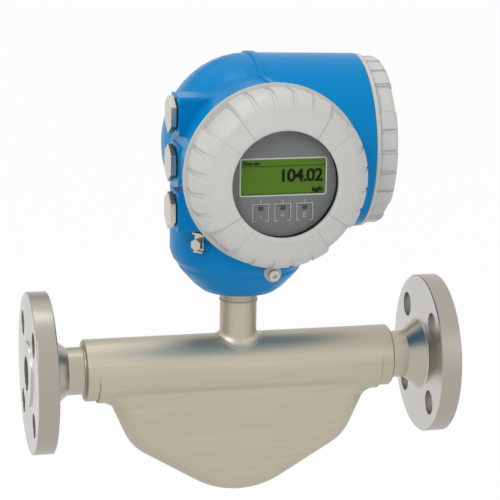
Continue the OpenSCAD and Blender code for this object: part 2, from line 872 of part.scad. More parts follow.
module display_o_ring() {
    color(black) facing_front(mid_x, shoulder_y, axis_height) cover_seal_ring();
}

module connection_o_ring() {
    color(black) facing_outlet(mouth_x, drum_y, drum_z) cover_seal_ring();
}

// ---- Electronics ----

module electronics_module() {
    len = module_back - module_front;
    color(face_grey) difference() {
        facing_front(mid_x, module_back, axis_height) {
            cylinder(r = bay_r - 0.5, h = len - 6);
            cylinder(r = bay_r - 6, h = len - eps);
        }
        for (side = [-1, 1])
            translate([mid_x + side * 24 - 8, module_front - 1, axis_height - 34])
                cube([16, 5, 12]);
    }
}

module display_carrier() {
    color(face_grey) difference() {
        union() {
            facing_front(mid_x, carrier_back, axis_height)
                cylinder(r = carrier_r, h = carrier_back - shoulder_y + thread_len - 1);
            facing_front(mid_x, carrier_back, axis_height)
                cylinder(r = carrier_r - 3.5, h = carrier_back - carrier_front);
        }
        facing_front(mid_x, carrier_back + 1, axis_height)
            cylinder(r = carrier_r - 12, h = carrier_back - carrier_front - 2);
        facing_front(mid_x, carrier_back - 5, axis_height)
            cylinder(r = carrier_r - 16, h = carrier_back - carrier_front);
    }
}

module display_bezel() {
    color(face_grey) difference() {
        facing_front(mid_x, carrier_front, axis_height) {
            cylinder(r = bezel_r, h = bezel_t);
            translate([-screen_w / 2, screen_lift - screen_h / 2, 0])
                cube([screen_w, screen_h, bezel_t + screen_proud]);
        }
        facing_front(mid_x, carrier_front - bezel_t + 1.4, axis_height)
            translate([-screen_w / 2 + screen_edge, screen_lift - screen_h / 2 + screen_edge, 0])
                cube([screen_w - 2 * screen_edge, screen_h - 2 * screen_edge, bezel_t]);
        for (i = [-1:1]) facing_front(mid_x + i * key_pitch, bezel_front + 0.4, axis_height)
            translate([0, -key_drop, 0]) key_field();
    }
}

// Shallow field that marks one touch key
module key_field() {
    difference() {
        translate([-key_side / 2, -key_side / 2, 0]) cube([key_side, key_side, 2]);
        translate([-key_side / 2 + 1, -key_side / 2 - 1, -1])
            cube([key_side - 2, key_side, 4]);
    }
}

module display_screen() {
    inset = screen_edge + weld_gap;
    color(screen_green) facing_front(mid_x, carrier_front - bezel_t + 1.4, axis_height)
        translate([-screen_w / 2 + inset, screen_lift - screen_h / 2 + inset, 0])
            cube([screen_w - 2 * inset, screen_h - 2 * inset, 1]);
}

// Block with a row of screw terminals on the connection compartment's floor
module terminal_block() {
    color(black) difference() {
        translate([terminal_x, drum_y - terminal_w / 2, terminal_z])
            cube([terminal_d, terminal_w, terminal_h]);
        for (i = [0:terminal_rows - 1]) {
            facing_outlet(terminal_x + terminal_d / 2, terminal_y(i), terminal_screw_z)
                cylinder(r = terminal_screw_r + seat_gap, h = terminal_d);
            translate([terminal_x + terminal_d - terminal_wire,
                terminal_y(i) - terminal_wire / 2, terminal_z - 1])
                cube([terminal_d, terminal_wire, terminal_wire]);
        }
    }
}

function terminal_y(i) = drum_y + (i - (terminal_rows - 1) / 2) * terminal_pitch;

module terminal_screws() {
    slot = terminal_screw_r / 3;
    color(bright_steel) for (i = [0:terminal_rows - 1]) difference() {
        facing_outlet(terminal_x + terminal_d / 2, terminal_y(i), terminal_screw_z)
            cylinder(r = terminal_screw_r, h = terminal_screw_len);
        translate([terminal_x + terminal_d / 2 + terminal_screw_len - slot,
            terminal_y(i) - terminal_d, terminal_screw_z - slot / 2])
            cube([terminal_d, 2 * terminal_d, slot]);
    }
}

// ---- Ground terminal, clamp screws and swivel screw ----

// Bent strip that holds the ground wire
module ground_clamp() {
    back = ground_washer_r + seat_gap + strip_t;
    front = ground_washer_r + 2.8 + strip_t;
    color(bright_steel) at_ground() translate([0, 0, ground_seat]) difference() {
        union() {
            translate([-back, -ground_flats / 2, 0])
                cube([back + front, ground_flats, strip_t]);
            translate([front - strip_t, -ground_flats / 2, 0])
                cube([strip_t, ground_flats, 5]);
            translate([-back, -ground_flats / 2, 0])
                cube([strip_t, ground_flats, 3.4]);
        }
        translate([0, 0, -1]) cylinder(d = ground_screw_d + 2 * screw_gap, h = 4);
    }
}

module ground_screw() {
    shank = strip_t + 8;
    color(bright_steel) at_ground() translate([0, 0, ground_seat + strip_t]) {
        cylinder(r = ground_washer_r, h = 1);
        cylinder(d = ground_flats / cos(30), h = 5, $fn = 6);
        translate([0, 0, -shank]) cylinder(d = ground_screw_d, h = shank + eps);
    }
}

module socket_screw(d, shank, head_t) {
    difference() {
        union() {
            translate([0, 0, -shank]) cylinder(d = d, h = shank + eps);
            cylinder(d = 1.9 * d, h = head_t);
        }
        translate([0, 0, head_t - 0.6 * d]) cylinder(d = d, h = d, $fn = 6);
    }
}

module display_clamp_screw() {
    color(bright_steel) at_display_clamp()
        translate([0, -clamp_reach, clamp_t + 2 * seat_gap])
            socket_screw(clamp_screw_d, clamp_t + 10, clamp_screw_d);
}

module connection_clamp_screw() {
    color(bright_steel) at_side_clamp()
        translate([0, -clamp_reach, clamp_t + 2 * seat_gap])
            socket_screw(clamp_screw_d, clamp_t + 10, clamp_screw_d);
}

module swivel_screw() {
    tip = swivel_r - 2 + seat_gap;
    end = base_r - 16;
    color(bright_steel) at_swivel_screw() difference() {
        translate([0, 0, tip]) cylinder(d = 6, h = end - tip);
        translate([0, 0, end - 4]) cylinder(d = 3.4, h = 5, $fn = 6);
    }
}

// ---- Covers ----

// Rounded crown from the wall radius to the face's slope, in [r, z] points
function crown(wall_r, face_r, base, height) = [for (a = [0:12.5:75])
    [face_r + (wall_r - face_r) * cos(a), base + height * sin(a)]];

// Closed outline of a cover, with its wall and its face lowered by the given amounts
function grip_outline(depth, crown_h, crown_r, face_drop, wall_drop, sink) = concat(
    [[0, 0], [lobe_r - wall_drop, 0]],
    crown(lobe_r - wall_drop, crown_r, depth - face_drop - crown_h - sink, crown_h),
    [[window_r + 3, depth - sink], [0, depth - sink]]);

// Sector of a ring, centred on the x direction
module sector(angle, from_r) {
    reach = (lobe_r + 2) / cos(angle / 4);
    intersection() {
        difference() {
            circle(r = lobe_r + 1);
            circle(r = from_r);
        }
        polygon([[0, 0], for (side = [-1:0.5:1]) reach * [cos(side * angle / 2),
            sin(side * angle / 2)]]);
    }
}

// Outside of a screw cover, along local z from its rim
module cover_form(depth, crown_h, crown_r, face_drop) {
    pad_angle = lobe_angle / pads_per_lobe;
    cylinder(r = rim_r, h = rim_t);
    rotate_extrude() polygon(grip_outline(depth, crown_h, crown_r, face_drop,
        lobe_gap, gap_sink));
    intersection() {
        rotate_extrude() polygon(grip_outline(depth, crown_h, crown_r, face_drop,
            pad_groove, 0));
        linear_extrude(depth + 1) for (lobe = [0:3]) rotate(lobe * 90)
            sector(lobe_angle, window_r - 10);
    }
    intersection() {
        rotate_extrude() polygon(grip_outline(depth, crown_h, crown_r, face_drop, 0, 0));
        linear_extrude(depth + 1) for (lobe = [0:3], pad = [0:pads_per_lobe - 1])
            rotate(lobe * 90 + (pad + 0.5) * pad_angle - lobe_angle / 2)
                sector(pad_angle - pad_groove_angle, crown_r + 1.5);
    }
}

module display_cover() {
    color(cover_grey) facing_front(mid_x, cover_y, axis_height) difference() {
        cover_form(display_cover_depth, display_crown_h, display_crown_r, 3);
        translate([0, 0, -1]) cylinder(r = thread_bore_r, h = thread_len + 4);
        translate([0, 0, -1]) cylinder(r = bay_r - 1, h = cover_y - retainer_y + 1);
        translate([0, 0, -1])
            cylinder(r = glass_r + weld_gap, h = cover_y - gasket_y + 1);
        cylinder(r = window_r, h = display_cover_depth + 1);
    }
}

module window_gasket() {
    color(black) facing_front(mid_x, glass_y, axis_height)
        ring(glass_r, window_r + 0.5, gasket_t);
}

module window_glass() {
    color([0.7, 0.75, 0.78, 0.35]) facing_front(mid_x, retainer_y, axis_height)
        cylinder(r = glass_r, h = glass_t);
}

module window_retainer() {
    color(black) facing_front(mid_x, retainer_y + retainer_t, axis_height)
        ring(bay_r - 1 - weld_gap, bezel_r + 0.7, retainer_t);
}

module connection_cover() {
    color(cover_grey) facing_outlet(side_cover_x, drum_y, drum_z) difference() {
        rotate([0, 0, side_cover_turn])
            cover_form(side_cover_depth, side_crown_h, side_crown_r, 1);
        translate([0, 0, -1]) cylinder(r = thread_bore_r, h = thread_len + 2);
    }
}

// ---- Plugs ----

module entry_plug(z) {
    color(bright_steel) {
        facing_outlet(plug_head_x, entry_y, z)
            cylinder(d = plug_flats / cos(30), h = plug_head_t, $fn = 6);
        facing_outlet(plug_head_x + plug_head_t - eps, entry_y, z)
            cylinder(r = entry_bore_r - seat_gap, h = plug_seal_t + plug_shank);
    }
}

module plug_seal(z) {
    color(black) facing_outlet(plug_head_x + plug_head_t, entry_y, z)
        ring(entry_bore_r + 2.2, entry_bore_r - seat_gap + weld_gap, plug_seal_t);
}

module upper_plug() { entry_plug(entry_z[0]); }
module middle_plug() { entry_plug(entry_z[1]); }
module lower_plug() { entry_plug(entry_z[2]); }
module upper_plug_seal() { plug_seal(entry_z[0]); }
module middle_plug_seal() { plug_seal(entry_z[1]); }
module lower_plug_seal() { plug_seal(entry_z[2]); }

// ---- Securing clamps ----

// Flat clamp that turns on its screw and bears on the cover's rim
module clamp_form() {
    nose = clamp_reach - rim_r - seat_gap;
    translate([0, -clamp_reach, seat_gap]) difference() {
        linear_extrude(clamp_t) union() {
            circle(r = clamp_r);
            intersection() {
                circle(r = nose);
                translate([-clamp_r, 0]) square([2 * clamp_r, nose]);
            }
        }
        translate([0, 0, -1])
            cylinder(d = clamp_screw_d + 2 * screw_gap, h = clamp_t + 2);
    }
}

module display_cover_clamp() {
    color(cover_grey) at_display_clamp() clamp_form();
}

module connection_cover_clamp() {
    color(cover_grey) at_side_clamp() clamp_form();
}

module at_neck() {
    translate([mid_x, 0, 0]) children();
}

inlet_flange();
outlet_flange();
inlet_divider();
outlet_divider();
front_measuring_tube();
rear_measuring_tube();
brace_plates();
exciter_coil();
exciter_magnet();
pickup_coils();
pickup_magnets();
temperature_sensor();
sensor_tube();
belly_shell();
at_neck() neck_tube();
at_neck() swivel_spigot();
at_neck() swivel_seal();
at_neck() neck_feedthrough();
transmitter_housing();
display_o_ring();
connection_o_ring();
electronics_module();
display_carrier();
display_bezel();
display_screen();
terminal_block();
terminal_screws();
ground_screw();
ground_clamp();
swivel_screw();
display_clamp_screw();
connection_clamp_screw();
display_cover();
window_gasket();
window_glass();
window_retainer();
connection_cover();
upper_plug();
middle_plug();
lower_plug();
upper_plug_seal();
middle_plug_seal();
lower_plug_seal();
display_cover_clamp();
connection_cover_clamp();
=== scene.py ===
import json
import logging
import math
from dataclasses import dataclass
from enum import Enum
from typing import Callable, Dict, List, Optional, Sequence, Tuple, Union

import bpy
from mathutils import Matrix, Vector


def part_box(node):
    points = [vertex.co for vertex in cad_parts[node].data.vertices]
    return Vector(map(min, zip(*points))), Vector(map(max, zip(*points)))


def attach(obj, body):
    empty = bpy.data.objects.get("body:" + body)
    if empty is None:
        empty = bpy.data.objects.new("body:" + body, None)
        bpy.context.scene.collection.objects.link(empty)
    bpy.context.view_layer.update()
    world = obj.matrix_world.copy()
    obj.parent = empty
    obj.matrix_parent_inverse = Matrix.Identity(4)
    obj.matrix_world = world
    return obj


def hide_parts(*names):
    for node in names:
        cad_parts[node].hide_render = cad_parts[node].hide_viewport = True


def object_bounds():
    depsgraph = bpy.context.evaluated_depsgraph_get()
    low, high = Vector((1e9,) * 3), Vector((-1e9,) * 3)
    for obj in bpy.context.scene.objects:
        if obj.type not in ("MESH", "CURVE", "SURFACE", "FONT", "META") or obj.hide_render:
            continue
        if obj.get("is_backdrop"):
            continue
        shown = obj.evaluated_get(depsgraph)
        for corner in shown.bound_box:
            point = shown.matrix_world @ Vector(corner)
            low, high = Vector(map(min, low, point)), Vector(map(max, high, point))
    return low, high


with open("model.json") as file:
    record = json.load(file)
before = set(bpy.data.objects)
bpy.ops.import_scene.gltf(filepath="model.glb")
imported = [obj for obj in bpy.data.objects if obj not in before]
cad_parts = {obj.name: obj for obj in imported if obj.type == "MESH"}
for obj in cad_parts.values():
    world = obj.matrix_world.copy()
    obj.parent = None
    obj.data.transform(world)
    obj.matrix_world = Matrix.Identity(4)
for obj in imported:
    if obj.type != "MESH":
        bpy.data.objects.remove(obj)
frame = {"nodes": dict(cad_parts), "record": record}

LOG = logging.getLogger("flow_meter")
MM = 0.001
Colour = Tuple[float, float, float]
Rectangle = Tuple[float, float, float, float]
Feed = Union[bpy.types.NodeSocket, bpy.types.Node, float, Sequence[float]]
Element = Union[bpy.types.MeshVertex, bpy.types.MeshEdge, bpy.types.MeshPolygon]


class Slot(Enum):
    """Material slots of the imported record."""

    FLANGE = "flange_steel"
    TUBE = "tube_steel"
    BODY = "body_steel"
    SPIGOT = "spigot_steel"
    COPPER = "copper"
    MAGNET = "magnet"
    BLUE = "blue_paint"
    GREY = "grey_paint"
    SEAL = "seal_black"
    INSERT = "insert_black"
    MODULE = "module_grey"
    FACE = "display_grey"
    SCREEN = "screen_green"
    GLASS = "glass"
    SCREW = "screw_steel"


class Trim(Enum):
    """Finishes of pieces that the solids don't have."""

    WELD = "weld_bead"
    BLACK = "print_black"
    WHITE = "print_white"
    PALE = "print_pale"
    DARK = "print_dark"
    SHADE = "print_shade"


class Body(Enum):
    """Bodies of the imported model."""

    SENSOR = "sensor"
    TRANSMITTER = "transmitter"
    DISPLAY_COVER = "display_cover_set"
    CONNECTION_COVER = "connection_cover_set"
    UPPER_PLUG = "upper_plug_set"
    MIDDLE_PLUG = "middle_plug_set"
    LOWER_PLUG = "lower_plug_set"
    DISPLAY_CLAMP = "display_clamp_set"
    CONNECTION_CLAMP = "connection_clamp_set"


class Pick(Enum):
    """What edit mode selects, with the name of its list in a mesh."""

    VERT = "vertices"
    EDGE = "edges"
    FACE = "polygons"


class Align(Enum):
    """Which end of a line of words is at its place."""

    LEFT = "LEFT"
    CENTER = "CENTER"
    RIGHT = "RIGHT"


@dataclass(frozen=True)
class Steel:
    """Look of one bare steel surface.

    edge is the radius of its rounded edges in millimetres. inner is the colour of a
    flange's hub. The rim colour is painted on a flange's rim from the given radius outward:
    a painted reflection of dark surroundings, darker than the face. drawn is the strength
    of streaks along the pipe, and turned adds lathe marks.
    """

    base: Colour
    roughness: float
    grain: float = 0.0
    anisotropic: float = 0.0
    turned: bool = False
    edge: float = 0.3
    inner: Optional[Colour] = None
    painted_rim_shade: Optional[Colour] = None
    painted_rim_shade_from: float = 61.4 * MM
    drawn: float = 0.0
    texture: float = 2200.0
    patch: float = 18.0


@dataclass(frozen=True)
class Coat:
    """Look of one painted or moulded surface, with its edges' radius in millimetres."""

    base: Colour
    roughness: float
    peel: float = 0.0
    edge: float = 0.4
    specular: float = 0.5
    variation: float = 0.04
    texture: float = 1400.0
    patch: float = 25.0


@dataclass(frozen=True)
class Glow:
    """Look of the backlit screen, and of flat print with no light of its own."""

    base: Colour
    strength: float = 0.0
    roughness: float = 0.35
    specular: float = 0.05


@dataclass(frozen=True)
class Pane:
    """Look of the thin window: clear, with a share of a mirror's reflection."""

    tint: Colour = (0.97, 0.98, 0.98)
    roughness: float = 0.02
    ior: float = 1.45
    mirror: float = 0.12


@dataclass(frozen=True)
class ThreadSpan:
    """Where a thread is cut: a ring about a line along X, or along Y if turned."""

    turned: bool
    side: float
    height: float
    start: float
    end: float
    radius: float
    skin: float = 0.5 * MM

    def inputs(self) -> Dict[str, float]:
        """Values of the thread group's inputs."""
        return {"Turn": float(self.turned), "Side": self.side, "Height": self.height,
                "From": self.start, "To": self.end, "Inner": self.radius - self.skin,
                "Outer": self.radius + self.skin}


@dataclass(frozen=True)
class Lettering:
    """One line of words, with bold as a part of its size."""

    text: str
    name: str
    size: float
    align: Align
    ink: Trim
    bold: float = 0.0


@dataclass(frozen=True)
class Lamp:
    """Soft square lamp."""

    name: str
    place: Vector
    size: float
    watts: float


@dataclass(frozen=True)
class Flag:
    """Dark card that only reflections see."""

    name: str
    place: Vector
    width: float
    height: float
    shade: float


@dataclass(frozen=True)
class View:
    """Where the camera stands and how it is turned, in degrees."""

    place: Vector
    yaw: float
    elevation: float
    roll: float
    lens: float
    sensor: float = 36.0


@dataclass(frozen=True)
class Layout:
    """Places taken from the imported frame, in metres.

    mid_x is the neck's axis, which is the middle of the pipe. axis_z is the height of
    the display's axis, and face_y the front of its grey face.
    """

    mid_x: float
    axis_z: float
    face_y: float
    screen_lo: Vector
    screen_hi: Vector

    @classmethod
    def from_frame(cls) -> "Layout":
        """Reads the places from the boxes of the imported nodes.

        Returns:
            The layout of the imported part.
        """
        window_lo, window_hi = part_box("window_glass")
        bezel_lo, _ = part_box("display_bezel")
        screen_lo, screen_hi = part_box("display_screen")
        middle = (window_lo + window_hi) / 2
        return cls(middle.x, middle.z, bezel_lo.y, screen_lo, screen_hi)

    def cover_threads(self, radius: float = 54 * MM, reach: float = 11 * MM,
                      relief: float = 1 * MM) -> List[ThreadSpan]:
        """Threads on the housing that carry the two covers.

        Args:
            radius: radius of both threads.
            reach: length of the spigots.
            relief: plain stretch behind each thread.

        Returns:
            Where the threads are cut.
        """
        _, front_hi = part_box("display_cover")
        side_lo, side_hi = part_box("connection_cover")
        drum = (side_lo + side_hi) / 2
        return [ThreadSpan(True, self.mid_x, self.axis_z, front_hi.y - reach,
                           front_hi.y - relief, radius),
                ThreadSpan(False, drum.y, drum.z, side_lo.x + relief, side_lo.x + reach,
                           radius)]


STEELS: Dict[Enum, Steel] = {
    # The flange's rim colour below is a painted reflection of dark surroundings, not a tone
    # of the steel.
    Slot.FLANGE: Steel((0.62, 0.61, 0.575), 0.30, grain=0.02, anisotropic=0.5,
                       turned=True, edge=0.5, inner=(0.47, 0.43, 0.345),
                       painted_rim_shade=(0.40, 0.375, 0.325)),
    Slot.TUBE: Steel((0.62, 0.61, 0.57), 0.2, grain=0.02),
    Slot.BODY: Steel((0.530, 0.484, 0.386), 0.46, grain=0.08, edge=0.5, drawn=0.18),
    Slot.SPIGOT: Steel((0.44, 0.40, 0.32), 0.46, grain=0.08, edge=0.5),
    Slot.COPPER: Steel((0.72, 0.35, 0.16), 0.35, grain=0.1),
    Slot.MAGNET: Steel((0.55, 0.55, 0.55), 0.2),
    Slot.SCREW: Steel((0.56, 0.525, 0.46), 0.27, grain=0.04, edge=0.35),
    Trim.WELD: Steel((0.50, 0.47, 0.41), 0.36, grain=0.15),
}
COATS: Dict[Enum, Coat] = {
    Slot.BLUE: Coat((0.0, 0.225, 0.54), 0.30, peel=0.05, edge=1.8, specular=0.10),
    Slot.GREY: Coat((0.58, 0.58, 0.555), 0.42, peel=0.05, edge=1.5, specular=0.3,
                    variation=0.02),
    Slot.SEAL: Coat((0.012, 0.012, 0.012), 0.6, peel=0.1),
    Slot.INSERT: Coat((0.02, 0.02, 0.021), 0.5, peel=0.1),
    Slot.MODULE: Coat((0.10, 0.10, 0.105), 0.5, peel=0.05),
    Slot.FACE: Coat((0.215, 0.215, 0.213), 0.45, peel=0.03, specular=0.2),
}
GLOWS: Dict[Enum, Glow] = {
    Slot.SCREEN: Glow((0.072, 0.15, 0.012), strength=0.30),
    Trim.BLACK: Glow((0.004, 0.006, 0.003)),
    Trim.WHITE: Glow((0.62, 0.64, 0.58)),
    Trim.PALE: Glow((0.48, 0.48, 0.48)),
    Trim.DARK: Glow((0.08, 0.08, 0.082)),
    Trim.SHADE: Glow((0.04, 0.075, 0.01)),
}
THREAD_METAL: Colour = (0.52, 0.52, 0.52)


def rgba(colour: Colour) -> Tuple[float, float, float, float]:
    """Adds full opacity to a colour."""
    return (*colour, 1.0)


def scaled(colour: Colour, factor: float) -> Tuple[float, float, float, float]:
    """Darker or lighter copy of a colour, with full opacity."""
    return rgba(tuple(min(1.0, part * factor) for part in colour))


def wear(obj: bpy.types.Object, material: bpy.types.Material) -> None:
    """Makes the material the object's only one."""
    obj.data.materials.clear()
    obj.data.materials.append(material)


class Graph:
    """Small helper that adds and links the nodes of one tree."""

    def __init__(self, tree: bpy.types.NodeTree) -> None:
        """Keeps the tree that it adds to."""
        self.tree = tree

    def add(self, kind: str, inputs: Optional[Dict[Union[str, int], Feed]] = None,
            **settings: Union[str, int, bpy.types.NodeTree]) -> bpy.types.Node:
        """Adds a node.

        Args:
            kind: the node's class name without its prefix.
            inputs: values or sockets for the node's inputs, by name or number.
            settings: the node's own settings.

        Returns:
            The new node.
        """
        prefix = "Node" if kind in ("GroupInput", "GroupOutput") else "ShaderNode"
        node = self.tree.nodes.new(prefix + kind)
        for name, value in settings.items():
            setattr(node, name, value)
        for name, value in (inputs or {}).items():
            self.feed(node.inputs[name], value)
        return node

    def feed(self, socket: bpy.types.NodeSocket, value: Feed) -> None:
        """Links a socket to another, or sets its constant value.

        Args:
            socket: the input to set.
            value: a socket, a node whose first output is meant, or a constant.
        """
        if isinstance(value, bpy.types.Node):
            value = value.outputs[0]
        if isinstance(value, bpy.types.NodeSocket):
            self.tree.links.new(value, socket)
        else:
            socket.default_value = value

    def maths(self, operation: str, *values: Feed) -> bpy.types.NodeSocket:
        """Adds a Math node and returns its output."""
        return self.add("Math", dict(enumerate(values)), operation=operation).outputs[0]

    def within(self, value: Feed, low: Feed, high: Feed) -> bpy.types.NodeSocket:
        """Gives 1 where the value is between two others, and 0 elsewhere."""
        return self.maths("MULTIPLY", self.maths("GREATER_THAN", value, low),
                          self.maths("LESS_THAN", value, high))

    def length(self, first: Feed, second: Feed) -> bpy.types.NodeSocket:
        """Distance from the origin of a point with the two coordinates."""
        return self.maths("SQRT", self.maths("ADD", self.maths("POWER", first, 2.0),
                                             self.maths("POWER", second, 2.0)))

    def span(self, value: Feed, source: Tuple[float, float], target: Tuple[float, float],
             **settings: str) -> bpy.types.NodeSocket:
        """Carries a value from one range to another, and stops at its ends."""
        return self.add("MapRange", {"Value": value, "From Min": source[0],
                                     "From Max": source[1], "To Min": target[0],
                                     "To Max": target[1]}, **settings).outputs[0]

    def mix(self, factor: Feed, first: Feed, second: Feed) -> bpy.types.NodeSocket:
        """Mixes two colours.

        Args:
            factor: share of the second colour.
            first: colour where the factor is 0.
            second: colour where the factor is 1.

        Returns:
            The mixed colour.
        """
        node = self.add("Mix", data_type="RGBA")
        colours = [socket for socket in node.inputs if socket.type == "RGBA"]
        self.feed(node.inputs[0], factor)
        self.feed(colours[0], first)
        self.feed(colours[1], second)
        return next(socket for socket in node.outputs if socket.type == "RGBA")

    def place(self) -> Sequence[bpy.types.NodeSocket]:
        """X, Y and Z of the shaded point, in the frame's metres."""
        where = self.add("TexCoord").outputs["Object"]
        return self.add("SeparateXYZ", {0: where}).outputs

    def noise(self, vector: Feed, scale: Feed, detail: float,
              roughness: float = 0.5) -> bpy.types.Node:
        """Adds a noise texture and returns its node."""
        return self.add("TexNoise", {"Vector": vector, "Scale": scale, "Detail": detail,
                                     "Roughness": roughness})

    def bump(self, height: Feed, normal: Feed, strength: Feed,
             distance: float) -> bpy.types.NodeSocket:
        """Raises the surface by a height and returns the new normal."""
        return self.add("Bump", {"Strength": strength, "Distance": distance,
                                 "Height": height, "Normal": normal}).outputs[0]


class Effects:
    """Shared node groups. They give out only values, masks and normals."""

    def __init__(self, mid_x: float) -> None:
        """Builds each group once.

        Args:
            mid_x: middle of the pipe, about which both flanges are mirrored.
        """
        self.mid_x = mid_x
        self.soft_surface = self._soft_surface()
        self.turned = self._turned()
        self.hub = self._hub()
        self.drawn = self._drawn()
        self.thread = self._thread()

    @staticmethod
    def _group(name: str, inputs: Dict[str, float],
               outputs: Sequence[str]) -> Tuple[Graph, Dict[str, bpy.types.NodeSocket]]:
        """Starts a group.

        Args:
            name: the group's name.
            inputs: its inputs with their usual values.
            outputs: its outputs. Normal is a vector, the others are values.

        Returns:
            The group's graph and what comes in, by name.
        """
        tree = bpy.data.node_groups.new(name, "ShaderNodeTree")
        for label, value in inputs.items():
            socket = tree.interface.new_socket(label, in_out="INPUT",
                                               socket_type="NodeSocketFloat")
            socket.default_value = value
        for label in outputs:
            kind = "NodeSocketVector" if label == "Normal" else "NodeSocketFloat"
            tree.interface.new_socket(label, in_out="OUTPUT", socket_type=kind)
        graph = Graph(tree)
        return graph, graph.add("GroupInput").outputs

    def _soft_surface(self) -> bpy.types.NodeTree:
        """Rounded edges, a fine texture and slow patches, in object metres.

        Returns:
            The new group.
        """
        graph, given = self._group(
            "soft_surface", {"Edge": 0.4 * MM, "Scale": 900.0, "Strength": 0.1,
                             "Patch": 25.0}, ["Normal", "Patches"])
        where = graph.add("TexCoord").outputs["Object"]
        fine = graph.noise(where, given["Scale"], 3.0)
        slow = graph.noise(where, given["Patch"], 4.0, 0.6)
        round_edge = graph.add("Bevel", {"Radius": given["Edge"]}, samples=6)
        normal = graph.bump(fine, round_edge, given["Strength"], 0.2 * MM)
        graph.add("GroupOutput", {0: normal, 1: slow})
        return graph.tree

    def _turned(self) -> bpy.types.NodeTree:
        """Lathe marks about the pipe's axis: rings on faces and on diameters.

        Returns:
            The new group.
        """
        graph, given = self._group("turned_marks", {"Pitch": 900.0}, ["Height"])
        x, y, z = graph.place()
        along = graph.maths("ADD", graph.length(y, z), x)
        vector = graph.add("CombineXYZ", {0: graph.maths("MULTIPLY", along,
                                                         given["Pitch"])})
        graph.add("GroupOutput", {0: graph.noise(vector, 1.0, 4.0, 0.7)})
        return graph.tree

    def _hub(self) -> bpy.types.NodeTree:
        """Mask of the flanges' hubs and stubs: 1 near the pipe's axis and inboard.

        Returns:
            The new group.
        """
        graph, given = self._group(
            "hub_mask", {"Radius": 27.6 * MM, "Depth": 17.2 * MM,
                         "Middle": self.mid_x}, ["Mask"])
        x, y, z = graph.place()
        near = graph.maths("LESS_THAN", graph.length(y, z), given["Radius"])
        away = graph.maths("ABSOLUTE", graph.maths("SUBTRACT", x, given["Middle"]))
        reach = graph.maths("SUBTRACT", given["Middle"], given["Depth"])
        inboard = graph.maths("LESS_THAN", away, reach)
        graph.add("GroupOutput", {0: graph.maths("MULTIPLY", near, inboard)})
        return graph.tree

    def _drawn(self) -> bpy.types.NodeTree:
        """Long streaks that run with the pipe, as on drawn and brushed sheet.

        Returns:
            The new group.
        """
        graph, given = self._group("drawn_streaks", {"Along": 9.0, "Across": 420.0},
                                   ["Streaks"])
        x, y, z = graph.place()
        spread = graph.add("CombineXYZ", {
            0: graph.maths("MULTIPLY", x, given["Along"]),
            1: graph.maths("MULTIPLY", y, given["Across"]),
            2: graph.maths("MULTIPLY", z, given["Across"])})
        graph.add("GroupOutput", {0: graph.noise(spread, 1.0, 3.0, 0.55)})
        return graph.tree

    def _thread(self) -> bpy.types.NodeTree:
        """Thread grooves about a line along X or Y, and the mask of bare metal there.

        Returns:
            The new group.
        """
        graph, given = self._group(
            "thread_grooves", {"Turn": 0.0, "Side": 0.0, "Height": 0.0, "From": 0.0,
                               "To": 0.0, "Inner": 0.0, "Outer": 0.0,
                               "Pitch": 1.5 * MM}, ["Groove", "Mask"])
        x, y, z = graph.place()
        along = graph.add("Mix", {0: given["Turn"], 2: x, 3: y})
        across = graph.add("Mix", {0: given["Turn"], 2: y, 3: x})
        side = graph.maths("SUBTRACT", across, given["Side"])
        up = graph.maths("SUBTRACT", z, given["Height"])
        angle = graph.maths("DIVIDE", graph.maths("ARCTAN2", up, side), 2 * math.pi)
        turns = graph.maths("ADD", graph.maths("DIVIDE", along, given["Pitch"]), angle)
        groove = graph.maths("PINGPONG", turns, 0.5)
        length = graph.within(along, given["From"], given["To"])
        ring = graph.within(graph.length(side, up), given["Inner"], given["Outer"])
        mask = graph.maths("MULTIPLY", length, ring)
        graph.add("GroupOutput", {0: graph.maths("MULTIPLY", groove, mask), 1: mask})
        return graph.tree


